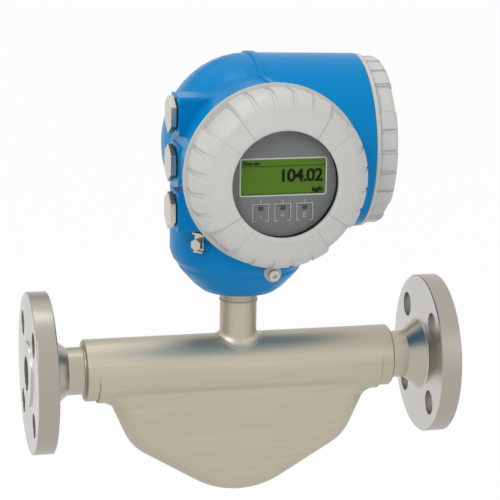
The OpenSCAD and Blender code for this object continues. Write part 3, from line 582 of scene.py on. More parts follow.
class Paintbox:
    """Builds the materials, by the name of their slot or trim."""

    def __init__(self, effects: Effects, threads: Sequence[ThreadSpan]) -> None:
        """Mixes every finish.

        Args:
            effects: the shared node groups.
            threads: where the blue housing is bare and threaded.
        """
        self.effects = effects
        self.made: Dict[Enum, bpy.types.Material] = {}
        for finish, steel in STEELS.items():
            self.made[finish] = self.steel(finish.value, steel)
        for finish, coat in COATS.items():
            cut = threads if finish is Slot.BLUE else ()
            self.made[finish] = self.coat(finish.value, coat, cut)
        for finish, glow in GLOWS.items():
            self.made[finish] = self.glow(finish.value, glow)
        self.made[Slot.GLASS] = self.pane(Slot.GLASS.value, Pane())

    @staticmethod
    def _blank(name: str) -> Tuple[bpy.types.Material, Graph, bpy.types.Node]:
        """Starts a material.

        Args:
            name: the material's name.

        Returns:
            The new material, its graph and its shader.
        """
        material = bpy.data.materials.new(name)
        material.use_nodes = True
        tree = material.node_tree
        return material, Graph(tree), tree.nodes["Principled BSDF"]

    def _skin(self, graph: Graph, look: Union[Steel, Coat], grain: float) -> bpy.types.Node:
        """Adds the soft surface with a finish's edge and texture."""
        return graph.add("Group", {"Edge": look.edge * MM, "Scale": look.texture,
                                   "Strength": grain, "Patch": look.patch},
                         node_tree=self.effects.soft_surface)

    def coat(self, name: str, look: Coat,
             threads: Sequence[ThreadSpan] = ()) -> bpy.types.Material:
        """Paint or moulded plastic with rounded edges and a fine skin.

        Args:
            name: the material's name.
            look: its finish.
            threads: where it is bare and threaded.

        Returns:
            The new material.
        """
        material, graph, shader = self._blank(name)
        skin = self._skin(graph, look, look.peel)
        patches, normal = skin.outputs["Patches"], skin.outputs["Normal"]
        colour = graph.mix(patches, scaled(look.base, 1 - look.variation),
                           scaled(look.base, 1 + look.variation))
        metal = None
        for span in threads:
            cut = graph.add("Group", span.inputs(), node_tree=self.effects.thread)
            groove, mask = cut.outputs
            normal = graph.bump(groove, normal, 1.0, 0.7 * MM)
            colour = graph.mix(mask, colour, rgba(THREAD_METAL))
            metal = graph.maths("MAXIMUM", metal, mask) if metal else mask
        if metal:
            graph.feed(shader.inputs["Metallic"], metal)
        graph.feed(shader.inputs["Base Color"], colour)
        graph.feed(shader.inputs["Roughness"], graph.span(
            patches, (0.0, 1.0), (look.roughness * 0.9, look.roughness * 1.1)))
        graph.feed(shader.inputs["Normal"], normal)
        shader.inputs["Specular IOR Level"].default_value = look.specular
        return material

    def steel(self, name: str, look: Steel) -> bpy.types.Material:
        """Bare steel: turned, drawn or blasted.

        Args:
            name: the material's name.
            look: its finish.

        Returns:
            The new material.
        """
        material, graph, shader = self._blank(name)
        skin = self._skin(graph, look, look.grain)
        patches, normal = skin.outputs["Patches"], skin.outputs["Normal"]
        colour = graph.mix(patches, scaled(look.base, 0.93), scaled(look.base, 1.05))
        if look.inner:
            hub = graph.add("Group", node_tree=self.effects.hub)
            colour = graph.mix(hub, colour, rgba(look.inner))
        # Painted reflection: beyond the rim radius the colour turns darker, standing for
        # the dark surroundings that the flange's rim reflects.
        if look.painted_rim_shade:
            face = graph.add("Group", {"Radius": look.painted_rim_shade_from, "Depth": -1.0},
                             node_tree=self.effects.hub)
            colour = graph.mix(face, rgba(look.painted_rim_shade), colour)
        if look.drawn:
            streaks = graph.add("Group", node_tree=self.effects.drawn)
            shade = graph.span(streaks, (0.3, 0.7), (0.0, look.drawn))
            colour = graph.mix(shade, colour, scaled(look.base, 0.6))
            normal = graph.bump(streaks, normal, 0.10, 0.1 * MM)
        if look.turned:
            marks = graph.add("Group", node_tree=self.effects.turned)
            band = graph.span(marks, (0.35, 0.65), (0.0, 0.30))
            colour = graph.mix(band, colour, scaled(look.base, 0.62))
            normal = graph.bump(marks, normal, 0.2, 0.1 * MM)
            tangent = graph.add("Tangent", direction_type="RADIAL", axis="X")
            graph.feed(shader.inputs["Tangent"], tangent)
        graph.feed(shader.inputs["Base Color"], colour)
        graph.feed(shader.inputs["Roughness"], graph.span(
            patches, (0.0, 1.0), (look.roughness * 0.85, look.roughness * 1.15)))
        graph.feed(shader.inputs["Normal"], normal)
        shader.inputs["Metallic"].default_value = 1.0
        shader.inputs["Anisotropic"].default_value = look.anisotropic
        return material

    def glow(self, name: str, look: Glow) -> bpy.types.Material:
        """Backlit screen or flat print.

        Args:
            name: the material's name.
            look: its finish.

        Returns:
            The new material.
        """
        material, _, shader = self._blank(name)
        shader.inputs["Base Color"].default_value = rgba(look.base)
        shader.inputs["Roughness"].default_value = look.roughness
        shader.inputs["Specular IOR Level"].default_value = look.specular
        shader.inputs["Emission Color"].default_value = rgba(look.base)
        shader.inputs["Emission Strength"].default_value = look.strength
        return material

    def pane(self, name: str, look: Pane) -> bpy.types.Material:
        """Thin clear window: mostly see-through with a faint reflection.

        Args:
            name: the material's name.
            look: its finish.

        Returns:
            The new material.
        """
        material, graph, shader = self._blank(name)
        clear = graph.add("BsdfTransparent", {"Color": rgba(look.tint)})
        gloss = graph.add("BsdfGlossy", {"Roughness": look.roughness,
                                         "Color": (1, 1, 1, 1)})
        fresnel = graph.add("Fresnel", {"IOR": look.ior})
        weak = graph.maths("MULTIPLY", fresnel, look.mirror)
        both = graph.add("MixShader", {0: weak, 1: clear, 2: gloss})
        out = material.node_tree.nodes["Material Output"]
        material.node_tree.nodes.remove(shader)
        graph.feed(out.inputs["Surface"], both)
        return material


class Workshop:
    """Modelling steps shared by the sub-assemblies."""

    def __init__(self, paints: Dict[Enum, bpy.types.Material]) -> None:
        """Keeps the materials, by slot or trim."""
        self.paints = paints

    @staticmethod
    def take(obj: bpy.types.Object) -> bpy.types.Object:
        """Makes the object the only selected and the active one.

        Args:
            obj: the object.

        Returns:
            The same object.
        """
        bpy.ops.object.select_all(action="DESELECT")
        obj.select_set(True)
        bpy.context.view_layer.objects.active = obj
        return obj

    @staticmethod
    def newest() -> bpy.types.Object:
        """Takes the object that the last operator made."""
        return Workshop.take(bpy.context.object)

    @staticmethod
    def apply(obj: bpy.types.Object) -> None:
        """Moves the object's place, turn and scale into its mesh."""
        Workshop.take(obj)
        bpy.ops.object.transform_apply(location=True, rotation=True, scale=True)

    @staticmethod
    def open(obj: bpy.types.Object) -> None:
        """Enters edit mode with the whole mesh selected.

        Args:
            obj: the object to edit.
        """
        Workshop.take(obj)
        bpy.ops.object.mode_set(mode="EDIT")
        bpy.ops.mesh.select_mode(type="VERT")
        bpy.ops.mesh.select_all(action="SELECT")

    @staticmethod
    def close() -> None:
        """Leaves edit mode."""
        bpy.ops.object.mode_set(mode="OBJECT")

    @staticmethod
    def pick(obj: bpy.types.Object, kind: Pick, wanted: Callable[[Element], bool]) -> None:
        """Enters edit mode with only some of the mesh selected.

        Args:
            obj: the object to edit.
            kind: whether vertices, edges or faces are selected.
            wanted: test that what is selected passes.
        """
        Workshop.take(obj)
        bpy.ops.object.mode_set(mode="EDIT")
        bpy.ops.mesh.select_mode(type=kind.name)
        bpy.ops.mesh.select_all(action="DESELECT")
        bpy.ops.object.mode_set(mode="OBJECT")
        for element in getattr(obj.data, kind.value):
            element.select = wanted(element)
        bpy.ops.object.mode_set(mode="EDIT")

    @staticmethod
    def modify(obj: bpy.types.Object, kind: str, **settings: Union[float, str]) -> None:
        """Adds a modifier with its settings and applies it.

        Args:
            obj: the object to change.
            kind: the modifier's type.
            settings: the modifier's own settings.
        """
        Workshop.take(obj)
        modifier = obj.modifiers.new(kind.lower(), kind)
        for name, value in settings.items():
            setattr(modifier, name, value)
        bpy.ops.object.modifier_apply(modifier=modifier.name)

    @staticmethod
    def face_out(obj: bpy.types.Object) -> None:
        """Turns all face normals outward.

        Args:
            obj: the object whose shell is closed.
        """
        Workshop.open(obj)
        bpy.ops.mesh.normals_make_consistent(inside=False)
        Workshop.close()

    @staticmethod
    def shade(obj: bpy.types.Object, degrees: float) -> None:
        """Shades faces smooth where they meet at less than the angle."""
        Workshop.take(obj)
        bpy.ops.object.shade_smooth_by_angle(angle=math.radians(degrees))

    def plate(self, points: Sequence[Tuple[float, float]], half: float) -> bpy.types.Object:
        """Solid of constant thickness across Y.

        Args:
            points: outline as (x, z).
            half: half of the thickness.

        Returns:
            The new solid, its mesh in the frame's axes.
        """
        bpy.ops.mesh.primitive_circle_add(vertices=len(points), radius=1,
                                          fill_type="NGON")
        obj = self.newest()
        for vertex, (x, z) in zip(obj.data.vertices, points):
            vertex.co = (x, -half, z)
        self.open(obj)
        bpy.ops.mesh.extrude_region_move(
            TRANSFORM_OT_translate={"value": (0, 2 * half, 0)})
        self.close()
        self.face_out(obj)
        return obj

    def rod(self, centre: Vector, radius: float, length: float,
            sides: int) -> bpy.types.Object:
        """Round rod along X with slightly rounded ends.

        Args:
            centre: its middle.
            radius: its radius.
            length: its length.
            sides: number of its sides.

        Returns:
            The new rod, its mesh in the frame's axes.
        """
        bpy.ops.mesh.primitive_cylinder_add(vertices=sides, radius=radius, depth=length,
                                            location=centre,
                                            rotation=(0, math.pi / 2, 0))
        obj = self.newest()
        self.apply(obj)
        self.modify(obj, "BEVEL", width=0.5 * MM, segments=3, limit_method="ANGLE")
        return obj

    def fuse(self, parts: Sequence[bpy.types.Object], voxel: float) -> bpy.types.Object:
        """Merges overlapping solids into one skin of even small faces.

        Args:
            parts: the solids. The first one takes in the others.
            voxel: size of the new faces.

        Returns:
            The merged object.
        """
        bpy.ops.object.select_all(action="DESELECT")
        for part in parts:
            part.select_set(True)
        bpy.context.view_layer.objects.active = parts[0]
        bpy.ops.object.join()
        obj = self.take(parts[0])
        obj.data.remesh_voxel_size = voxel
        obj.data.remesh_voxel_adaptivity = 0.0
        bpy.ops.object.voxel_remesh()
        return obj

    def finish(self, obj: bpy.types.Object, name: str, body: Body, paint: Enum,
               smooth: Optional[float] = None) -> bpy.types.Object:
        """Names, paints and shades a piece, and lets it ride on its body.

        Args:
            obj: the piece.
            name: its name.
            body: the body that it rides on.
            paint: its slot or trim.
            smooth: angle in degrees under which its faces are shaded smooth.

        Returns:
            The finished piece.
        """
        obj.name = name
        obj.data.name = name
        wear(obj, self.paints[paint])
        if smooth is not None:
            self.shade(obj, smooth)
        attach(obj, body.value)
        LOG.info("%s, made here, rides on %s", name, body.value)
        return obj


@dataclass
class SubAssembly:
    """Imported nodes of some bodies, dressed together, and the pieces added to them."""

    shop: Workshop
    layout: Layout
    bodies: Tuple[Body, ...]
    smooth: float = 24.0

    def dress(self) -> None:
        """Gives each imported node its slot's material and smooth curved faces."""
        record = frame["record"]
        slots = {row["node"]: row["material_slot"] for row in record["subparts"]}
        for body in self.bodies:
            for name in record["behaviour"]["bodies"][body.value]:
                node = frame["nodes"][name]
                wear(node, self.shop.paints[Slot(slots[name])])
                self.shop.shade(node, self.smooth)
                LOG.info("%s, as packed, rides on %s", name, body.value)

    def add_pieces(self) -> None:
        """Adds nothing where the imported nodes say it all."""


@dataclass
class Transmitter(SubAssembly):
    """Housing with its display: print on the screen and marks of the touch keys."""

    ink_depth: float = 0.06 * MM
    face_gap: float = 0.04 * MM
    screen_gap: float = 0.05 * MM
    frame_reach: float = 1.0 * MM
    frame_corner: float = 2.0 * MM
    frame_line: float = 0.95 * MM
    margin: float = 1.6 * MM
    reading_foot: float = 9.0 * MM
    unit_foot: float = 1.5 * MM
    rule_drop: float = 5.2 * MM
    rule_line: float = 0.45 * MM
    heading_rise: float = 1.3 * MM
    foot_line: float = 0.6 * MM
    letter_gap: float = 0.92
    letter_depth: float = 0.003
    key_pitch: float = 15.8 * MM
    key_drop: float = 14.6 * MM
    key_side: float = 12.0 * MM
    key_line: float = 0.75 * MM
    key_foot: float = 2.6 * MM
    eye_half: float = 1.9 * MM
    eye_height: float = 3.0 * MM
    eye_drop: float = 1.9 * MM
    eye_corner: float = 0.5 * MM
    mark_drop: float = 10.4 * MM

    def words(self, line: Lettering, spot: Vector) -> bpy.types.Object:
        """Flat lettering on the display.

        Args:
            line: what it reads and how.
            spot: place of its aligned end, at its foot.

        Returns:
            The new piece.
        """
        bpy.ops.object.text_add(location=(0, 0, 0))
        letters = bpy.context.object.data
        letters.body = line.text
        letters.size = 1.0
        letters.align_x = line.align.value
        letters.extrude = self.letter_depth
        letters.offset = line.bold
        letters.space_character = self.letter_gap
        letters.resolution_u = 4
        self.shop.newest()
        bpy.ops.object.convert(target="MESH")
        obj = self.shop.newest()
        obj.data.transform(Matrix.Translation(spot) @ Matrix.Rotation(math.pi / 2, 4, "X")
                           @ Matrix.Scale(line.size, 4))
        return self.shop.finish(obj, line.name, Body.TRANSMITTER, line.ink)

    def print_shape(self, name: str, box: Rectangle, y: float, corner: float,
                    ink: Trim, line: float = 0.0) -> bpy.types.Object:
        """Thin rounded plate, or a frame of one line, that faces the viewer.

        Args:
            name: the piece's name.
            box: low x, low z, high x, high z.
            y: depth of its middle.
            corner: outer corner radius.
            ink: its finish.
            line: width of the frame's line, or 0 for a filled plate.

        Returns:
            The new piece.
        """
        x0, z0, x1, z1 = box
        bpy.ops.mesh.primitive_plane_add(size=1, rotation=(math.pi / 2, 0, 0),
                                         location=((x0 + x1) / 2, y, (z0 + z1) / 2))
        obj = self.shop.newest()
        obj.scale = (x1 - x0, z1 - z0, 1)
        self.shop.apply(obj)
        self.shop.open(obj)
        bpy.ops.mesh.bevel(offset=corner, offset_pct=0, segments=6, affect="VERTICES")
        if line:
            bpy.ops.mesh.select_all(action="SELECT")
            bpy.ops.mesh.inset(thickness=line, depth=0)
            bpy.ops.mesh.delete(type="FACE")
        self.shop.close()
        self.shop.modify(obj, "SOLIDIFY", thickness=self.ink_depth, offset=0)
        return self.shop.finish(obj, name, Body.TRANSMITTER, ink)

    def bracket(self, name: str, x: float, top: float) -> bpy.types.Object:
        """Line of a touch key: open at its foot, with a tick over it.

        Args:
            name: the piece's name.
            x: place of its middle.
            top: height of its upper edge.

        Returns:
            The new piece.
        """
        half, line, foot = self.key_side / 2, self.key_line, self.key_foot
        columns = [x - half, x - half + line, x - half + foot, x - line / 2,
                   x + line / 2, x + half - foot, x + half - line, x + half]
        base = top - self.key_side
        rows = [base - line, base, top - line, top, top + foot]
        wide, high = len(columns) - 1, len(rows) - 1
        feet = {(0, 0), (1, 0), (wide - 2, 0), (wide - 1, 0)}
        sides = {(0, 1), (wide - 1, 1)}
        bar = {(column, 2) for column in range(wide)}
        tick = {(wide // 2, 3)}
        kept = feet | sides | bar | tick
        bpy.ops.mesh.primitive_grid_add(x_subdivisions=wide, y_subdivisions=high, size=1,
                                        location=(0, 0, 0))
        obj = self.shop.newest()
        self.shop.pick(obj, Pick.FACE, lambda face: (
            int((face.center.x + 0.5) * wide),
            int((face.center.y + 0.5) * high)) not in kept)
        bpy.ops.mesh.delete(type="FACE")
        self.shop.close()
        for vertex in obj.data.vertices:
            column = round((vertex.co.x + 0.5) * wide)
            row = round((vertex.co.y + 0.5) * high)
            vertex.co = (columns[column], self.layout.face_y - self.face_gap, rows[row])
        self.shop.face_out(obj)
        self.shop.modify(obj, "SOLIDIFY", thickness=self.ink_depth, offset=0)
        self.shop.modify(obj, "BEVEL", width=self.ink_depth / 3)
        return self.shop.finish(obj, name, Body.TRANSMITTER, Trim.PALE)

    def key(self, name: str, x: float, mark: str) -> None:
        """Bracket with a tick, and a sensing eye with its mark.

        Args:
            name: start of the pieces' names.
            x: place of the key's middle.
            mark: what it is marked with.
        """
        top = self.layout.axis_z - self.key_drop
        y = self.layout.face_y - self.face_gap
        self.bracket(f"{name}_bracket", x, top)
        eye_top = top - self.eye_drop
        self.print_shape(f"{name}_eye", (x - self.eye_half, eye_top - self.eye_height,
                                         x + self.eye_half, eye_top), y,
                         self.eye_corner, Trim.DARK)
        self.words(Lettering(mark, f"{name}_mark", 5.2 * MM, Align.CENTER, Trim.PALE, 0.02),
                   Vector((x, y, top - self.mark_drop)))

    def screen(self) -> None:
        """Screen's frame, and its reading with unit, heading and rules."""
        low, high = self.layout.screen_lo, self.layout.screen_hi
        y, reach = low.y - self.screen_gap, self.frame_reach
        rule = high.z - self.rule_drop
        self.print_shape("screen_frame", (low.x - reach, low.z - reach, high.x + reach,
                                          high.z + reach),
                         self.layout.face_y - self.ink_depth / 2, self.frame_corner,
                         Trim.WHITE, self.frame_line)
        self.words(Lettering("104.02", "screen_reading", 12.6 * MM, Align.RIGHT,
                             Trim.BLACK, 0.03),
                   Vector((high.x - self.margin, y, low.z + self.reading_foot)))
        self.words(Lettering("kg/h", "screen_unit", 5.0 * MM, Align.RIGHT, Trim.BLACK,
                             0.05),
                   Vector((high.x - self.margin, y, low.z + self.unit_foot)))
        self.print_shape("screen_rule", (low.x, rule, high.x, rule + self.rule_line), y,
                         0.2 * MM, Trim.BLACK)
        self.print_shape("screen_foot", (low.x, low.z, high.x, low.z + self.foot_line), y,
                         0.25 * MM, Trim.SHADE)
        self.words(Lettering("Flow rate", "screen_heading", 3.5 * MM, Align.LEFT,
                             Trim.BLACK, 0.05),
                   Vector((low.x + self.margin, y, rule + self.heading_rise)))

    def add_pieces(self) -> None:
        """Adds the screen's print and the three touch keys."""
        self.screen()
        for place, mark in enumerate(("-", "+", "E")):
            self.key(f"key_{place + 1}",
                     self.layout.mid_x + (place - 1) * self.key_pitch, mark)


@dataclass
class Sensor(SubAssembly):
    """Flanges, pipe and tubes, with the belly's pressing, the neck and the welds.

    The route values repeat the solid's: legs, knees and the lowest bow of the
    measuring tubes, with the shell's outside at a constant distance from them.
    """

    divider_end: float = 60.0 * MM
    shoulder_r: float = 16.0 * MM
    leg_angle: float = math.radians(66)
    leg_len: float = 38.0 * MM
    knee_r: float = 20.0 * MM
    bow_angle: float = math.radians(31)
    bow_r: float = 50.0 * MM
    offset: float = 16.35 * MM
    half_width: float = 19.5 * MM
    edge_r: float = 14.0 * MM
    tube_r: float = 23.8 * MM
    saddle_r: float = 24.3 * MM
    saddle_drop: float = 1.5 * MM
    saddle_from: float = 53.2 * MM
    saddle_top: float = 6.0 * MM
    flare_r: float = 6.0 * MM
    flare_start: float = 2.0 * MM
    flare_lead: float = math.radians(21)
    voxel: float = 0.9 * MM
    smoothing: int = 16
    crisp_end: float = 5.0 * MM
    neck_r: float = 14.2 * MM
    neck_top: float = 51.0 * MM
    neck_weld: float = 4.4 * MM
    neck_collar: float = 2.0 * MM
    neck_sides: int = 120
    stub_r: float = 18.3 * MM
    tube_end: float = 43.5 * MM
    bead_r: float = 0.85 * MM
    bead_ripples: int = 72
    bead_ripple: float = 0.004

    @staticmethod
    def sweep(centre: Vector, radius: float, start: float, end: float,
              steps: int) -> List[Tuple[float, float]]:
        """Round stretch of the outline.

        Args:
            centre: its centre (x, z).
            radius: its radius, negative for a hollow that opens downward.
            start: first angle, from straight down towards the inlet.
            end: last angle.
            steps: number of its short lines.

        Returns:
            Points (x, z).
        """
        turns = [start + (end - start) * step / steps for step in range(steps + 1)]
        return [(centre.x - radius * math.sin(turn), centre.y - radius * math.cos(turn))
                for turn in turns]

    def outline(self) -> List[Tuple[float, float]]:
        """Outside of the shell in the plane of its tubes.

        Returns:
            Points (x, z) from the inlet end down, round and up to the outlet end.
        """
        mid_x = self.layout.mid_x
        leg_sin, leg_cos = math.sin(self.leg_angle), math.cos(self.leg_angle)
        start = Vector((self.divider_end + self.shoulder_r * leg_sin,
                        -self.shoulder_r * (1 - leg_cos)))
        down = Vector((leg_cos, -leg_sin))
        out = Vector((-leg_sin, -leg_cos))
        knee = start + down * self.leg_len - out * self.knee_r
        edge = start + out * self.offset
        low = -self.saddle_r - self.saddle_drop
        corner = edge + down * ((edge.y - low) / leg_sin)
        run = self.flare_r * math.tan((math.pi / 2 - self.leg_angle) / 2
                                      + self.flare_lead)
        flare = Vector((corner.x - run, low - self.flare_r))
        flank = knee - self.knee_r * Vector((math.sin(self.bow_angle),
                                             math.cos(self.bow_angle)))
        run = mid_x - self.bow_r * math.sin(self.bow_angle) - flank.x
        bow_z = (flank.y - run * math.tan(self.bow_angle)
                 + self.bow_r * math.cos(self.bow_angle))
        points = [(flare.x, self.saddle_top), (flare.x, low + self.flare_start)]
        points += self.sweep(flare, -self.flare_r, 0.0, self.leg_angle, 6)
        points += self.sweep(knee, self.knee_r + self.offset, self.leg_angle,
                             self.bow_angle, 8)
        points += self.sweep(Vector((mid_x, bow_z)), self.bow_r + self.offset,
                             self.bow_angle, 0.0, 12)
        return points + [(2 * mid_x - x, z) for x, z in reversed(points[:-1])]

    def belly(self) -> bpy.types.Object:
        """Shell pressed in one with its saddle, its seams ground flush.

        Returns:
            The new piece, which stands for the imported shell.
        """
        mid_x = self.layout.mid_x
        shell = self.shop.plate(self.outline(), self.half_width)

        def on_flat_side(edge: bpy.types.MeshEdge) -> bool:
            """Tells whether an edge runs around one of the two flat sides."""
            ends = [shell.data.vertices[index].co.y for index in edge.vertices]
            return abs(ends[0] - ends[1]) < self.half_width / 10

        self.shop.pick(shell, Pick.EDGE, on_flat_side)
        bpy.ops.mesh.bevel(offset=self.edge_r, offset_type="OFFSET", segments=10,
                           profile=0.5, affect="EDGES", clamp_overlap=False)
        self.shop.close()
        saddle = self.shop.rod(Vector((mid_x, 0, -self.saddle_drop)), self.saddle_r,
                               2 * (mid_x - self.saddle_from), 144)
        piece = self.shop.fuse([shell, saddle], self.voxel)
        calm = piece.vertex_groups.new(name="calm")
        for vertex in piece.data.vertices:
            end = min(vertex.co.x - self.saddle_from,
                      2 * mid_x - self.saddle_from - vertex.co.x)
            calm.add([vertex.index], 1.0 if end > self.crisp_end else 0.25, "REPLACE")
        self.shop.modify(piece, "SMOOTH", factor=0.5, iterations=self.smoothing,
                         vertex_group="calm")
        hidden_r = self.tube_r - 0.1 * MM
        self.shop.pick(piece, Pick.VERT, lambda vertex: math.hypot(
            vertex.co.y, vertex.co.z) < hidden_r)
        bpy.ops.mesh.delete(type="VERT")
        self.shop.close()
        self.shop.finish(piece, "belly_pressing", Body.SENSOR, Slot.BODY, smooth=180)
        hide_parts("belly_shell")
        return piece

    def neck(self) -> bpy.types.Object:
        """Neck with the fillet weld that runs around its foot.

        Returns:
            The new piece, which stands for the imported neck.
        """
        rows = [(0.0, 1 + self.neck_collar / self.neck_weld)]
        rows += [(1 - math.cos(turn), 1 - math.sin(turn))
                 for turn in map(math.radians, range(0, 91, 10))]
        rows.append((1.12, -0.15))
        bpy.ops.mesh.primitive_circle_add(vertices=self.neck_sides, radius=self.neck_r,
                                          location=(self.layout.mid_x, 0, self.neck_top))
        obj = self.shop.newest()
        self.shop.apply(obj)
        self.shop.open(obj)
        last = self.neck_r
        for reach, _ in rows:
            radius = self.neck_r + self.neck_weld * reach
            bpy.ops.mesh.extrude_region_move(
                TRANSFORM_OT_translate={"value": (0, 0, -1 * MM)})
            bpy.ops.transform.resize(value=(radius / last, radius / last, 1),
                                     center_override=(self.layout.mid_x, 0, 0))
            last = radius
        self.shop.close()
        for vertex in obj.data.vertices:
            row = vertex.index // self.neck_sides
            if row:
                seat = math.sqrt(self.tube_r ** 2 - vertex.co.y ** 2)
                vertex.co.z = seat + self.neck_weld * rows[row - 1][1]
        self.shop.face_out(obj)
        self.shop.finish(obj, "neck_with_weld", Body.SENSOR, Slot.BODY, smooth=60)
        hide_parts("neck_tube")
        return obj

    def stub_weld(self, name: str, x: float) -> bpy.types.Object:
        """Narrow weld bead where a flange's stub enters the sensor tube.

        Args:
            name: the piece's name.
            x: place of the bead along the pipe.

        Returns:
            The new piece.
        """
        bpy.ops.mesh.primitive_torus_add(
            location=(x, 0, 0), rotation=(0, math.pi / 2, 0),
            major_radius=self.stub_r + 0.5 * MM, minor_radius=self.bead_r,
            major_segments=180, minor_segments=12)
        bead = self.shop.newest()
        for vertex in bead.data.vertices:
            angle = math.atan2(vertex.co.y, vertex.co.x)
            vertex.co *= 1 + self.bead_ripple * math.sin(angle * self.bead_ripples)
        self.shop.apply(bead)
        return self.shop.finish(bead, name, Body.SENSOR, Trim.WELD, smooth=60)

    def add_pieces(self) -> None:
        """Adds the pressing, the neck and the two stubs' welds."""
        self.belly()
        self.neck()
        inlet_x = self.tube_end - 0.35 * MM
        self.stub_weld("inlet_stub_weld", inlet_x)
        self.stub_weld("outlet_stub_weld", 2 * self.layout.mid_x - inlet_x)


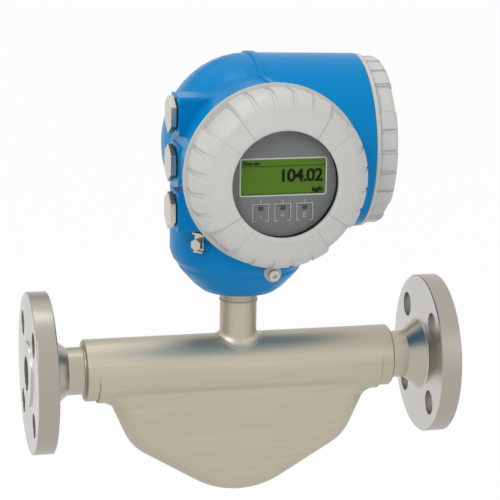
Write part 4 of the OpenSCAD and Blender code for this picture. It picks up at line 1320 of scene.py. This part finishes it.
@dataclass
class Studio:
    """World, lamps, dark cards, floor and camera around the meter."""

    middle: Vector
    floor_z: float
    view: View = View(Vector((-0.17531, -1.45792, 0.46558)), 13.44, 14.08, 0.96, 144.9)
    world_level: float = 0.55
    floor_level: float = 0.95
    lamps: Tuple[Lamp, ...] = (
        Lamp("key", Vector((-0.9, -1.1, 1.5)), 0.8, 16.0),
        Lamp("fill", Vector((1.4, -1.3, 0.5)), 1.0, 4.0),
        Lamp("overhead", Vector((-0.1, 0.3, 1.5)), 0.5, 3.5))
    flags: Tuple[Flag, ...] = (
        Flag("flag_back", Vector((-0.2, 1.2, 0.75)), 1.6, 0.5, 0.12),
        Flag("flag_right", Vector((1.3, -1.0, 0.1)), 1.0, 0.9, 0.10),
        Flag("flag_low", Vector((0.16, -0.15, -0.9)), 1.3, 0.9, 0.22))

    @staticmethod
    def shell(obj: bpy.types.Object, name: str) -> Tuple[Graph, bpy.types.Node,
                                                         bpy.types.NodeSocket]:
        """Names a staged object and gives it a material of its own.

        Args:
            obj: the object.
            name: name for it and its material.

        Returns:
            The material's graph, its shader and the input of its output node.
        """
        obj.name = name
        material = bpy.data.materials.new(name)
        material.use_nodes = True
        wear(obj, material)
        obj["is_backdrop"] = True
        nodes = material.node_tree.nodes
        return (Graph(material.node_tree), nodes["Principled BSDF"],
                nodes["Material Output"].inputs["Surface"])

    @staticmethod
    def seen(graph: Graph) -> bpy.types.NodeSocket:
        """Gives 1 for what the camera sees, straight or in a reflection."""
        path = graph.add("LightPath").outputs
        return graph.maths("MAXIMUM", path["Is Camera Ray"], path["Is Glossy Ray"])

    def world(self) -> None:
        """White for the camera, glossy and clear rays, and a plain level for light."""
        world = bpy.data.worlds.new("studio")
        bpy.context.scene.world = world
        world.use_nodes = True
        graph = Graph(world.node_tree)
        clear = graph.add("LightPath").outputs["Is Transmission Ray"]
        seen = graph.maths("MAXIMUM", self.seen(graph), clear)
        back = world.node_tree.nodes["Background"]
        back.inputs["Color"].default_value = (1, 1, 1, 1)
        graph.feed(back.inputs["Strength"],
                   graph.span(seen, (0.0, 1.0), (self.world_level, 1.0)))

    def lamp(self, lamp: Lamp) -> None:
        """Adds a lamp that looks at the meter.

        Args:
            lamp: its place, size and strength.
        """
        data = bpy.data.lights.new(lamp.name, "AREA")
        data.energy = lamp.watts
        data.size = lamp.size
        obj = bpy.data.objects.new(lamp.name, data)
        obj.location = lamp.place
        aim = self.middle - lamp.place
        obj.rotation_euler = aim.to_track_quat("-Z", "Y").to_euler()
        bpy.context.scene.collection.objects.link(obj)

    def flag(self, flag: Flag) -> None:
        """Adds a card that faces the meter and fades out towards its edges.

        Args:
            flag: its place, size and shade.
        """
        bpy.ops.mesh.primitive_plane_add(size=1)
        obj = bpy.context.object
        obj.scale = (flag.width, flag.height, 1)
        obj.location = flag.place
        obj.rotation_euler = (self.middle - flag.place).to_track_quat("Z", "Y").to_euler()
        graph, shader, surface = self.shell(obj, flag.name)
        graph.tree.nodes.remove(shader)
        place = graph.add("SeparateXYZ", {0: graph.add("TexCoord").outputs["Generated"]})
        fades = []
        for axis in place.outputs[:2]:
            off = graph.maths("ABSOLUTE", graph.maths("SUBTRACT", axis, 0.5))
            fades.append(graph.span(off, (0.2, 0.5), (1.0, 0.0),
                                    interpolation_type="SMOOTHSTEP"))
        shade = (flag.shade, flag.shade, flag.shade * 1.05)
        dark = graph.add("Emission", {"Color": rgba(shade)})
        clear = graph.add("BsdfTransparent")
        graph.feed(surface, graph.add("MixShader", {
            0: graph.maths("MULTIPLY", *fades), 1: clear, 2: dark}))
        obj.visible_camera = False
        obj.visible_diffuse = False
        obj.visible_shadow = False
        obj.visible_transmission = False

    def floor(self) -> None:
        """Plain pale floor that keeps a little shadow."""
        bpy.ops.mesh.primitive_plane_add(size=12, location=(0.16, 0, self.floor_z))
        graph, shader, surface = self.shell(bpy.context.object, "floor")
        shader.inputs["Base Color"].default_value = (0.9, 0.9, 0.9, 1)
        shader.inputs["Roughness"].default_value = 0.9
        glow = graph.add("Emission", {"Color": (1, 1, 1, 1)})
        part = graph.maths("MULTIPLY", self.seen(graph), self.floor_level)
        graph.feed(surface, graph.add("MixShader", {0: part, 1: shader, 2: glow}))

    def camera(self) -> None:
        """Long lens from the front left, a little above the meter."""
        yaw, elevation, roll = (math.radians(angle) for angle in (
            self.view.yaw, self.view.elevation, self.view.roll))
        forward = Vector((math.sin(yaw) * math.cos(elevation),
                          math.cos(yaw) * math.cos(elevation), -math.sin(elevation)))
        level = Vector((math.cos(yaw), -math.sin(yaw), 0))
        upright = level.cross(forward)
        right = math.cos(roll) * level + math.sin(roll) * upright
        up = -math.sin(roll) * level + math.cos(roll) * upright
        data = bpy.data.cameras.new("camera")
        data.lens = self.view.lens
        data.sensor_width = self.view.sensor
        obj = bpy.data.objects.new("camera", data)
        turn = Matrix((right, up, -forward)).transposed().to_4x4()
        obj.matrix_world = Matrix.Translation(self.view.place) @ turn
        bpy.context.scene.collection.objects.link(obj)
        bpy.context.scene.camera = obj

    def build(self) -> None:
        """Sets up the whole studio."""
        self.world()
        for lamp in self.lamps:
            self.lamp(lamp)
        for flag in self.flags:
            self.flag(flag)
        self.floor()
        self.camera()
        bpy.context.scene.view_settings.view_transform = "Standard"


def corners(pair: Tuple[Vector, Vector]) -> List[List[float]]:
    """Two corners as plain lists."""
    return [[float(value) for value in corner] for corner in pair]


def main() -> None:
    """Builds the looks of the flow meter and its studio."""
    logging.basicConfig(level=logging.INFO)
    cad_box = corners(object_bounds())
    bpy.ops.object.select_all(action="DESELECT")
    layout = Layout.from_frame()
    shop = Workshop(Paintbox(Effects(layout.mid_x), layout.cover_threads()).made)
    covers = (Body.DISPLAY_COVER, Body.CONNECTION_COVER, Body.DISPLAY_CLAMP,
              Body.CONNECTION_CLAMP)
    plugs = (Body.UPPER_PLUG, Body.MIDDLE_PLUG, Body.LOWER_PLUG)
    for part in (Transmitter(shop, layout, (Body.TRANSMITTER,)),
                 SubAssembly(shop, layout, covers), SubAssembly(shop, layout, plugs),
                 Sensor(shop, layout, (Body.SENSOR,))):
        part.dress()
        part.add_pieces()
    Studio(Vector((layout.mid_x, 0, 0.06)), cad_box[0][2] - 0.25).build()


if __name__ == "__main__":
    main()
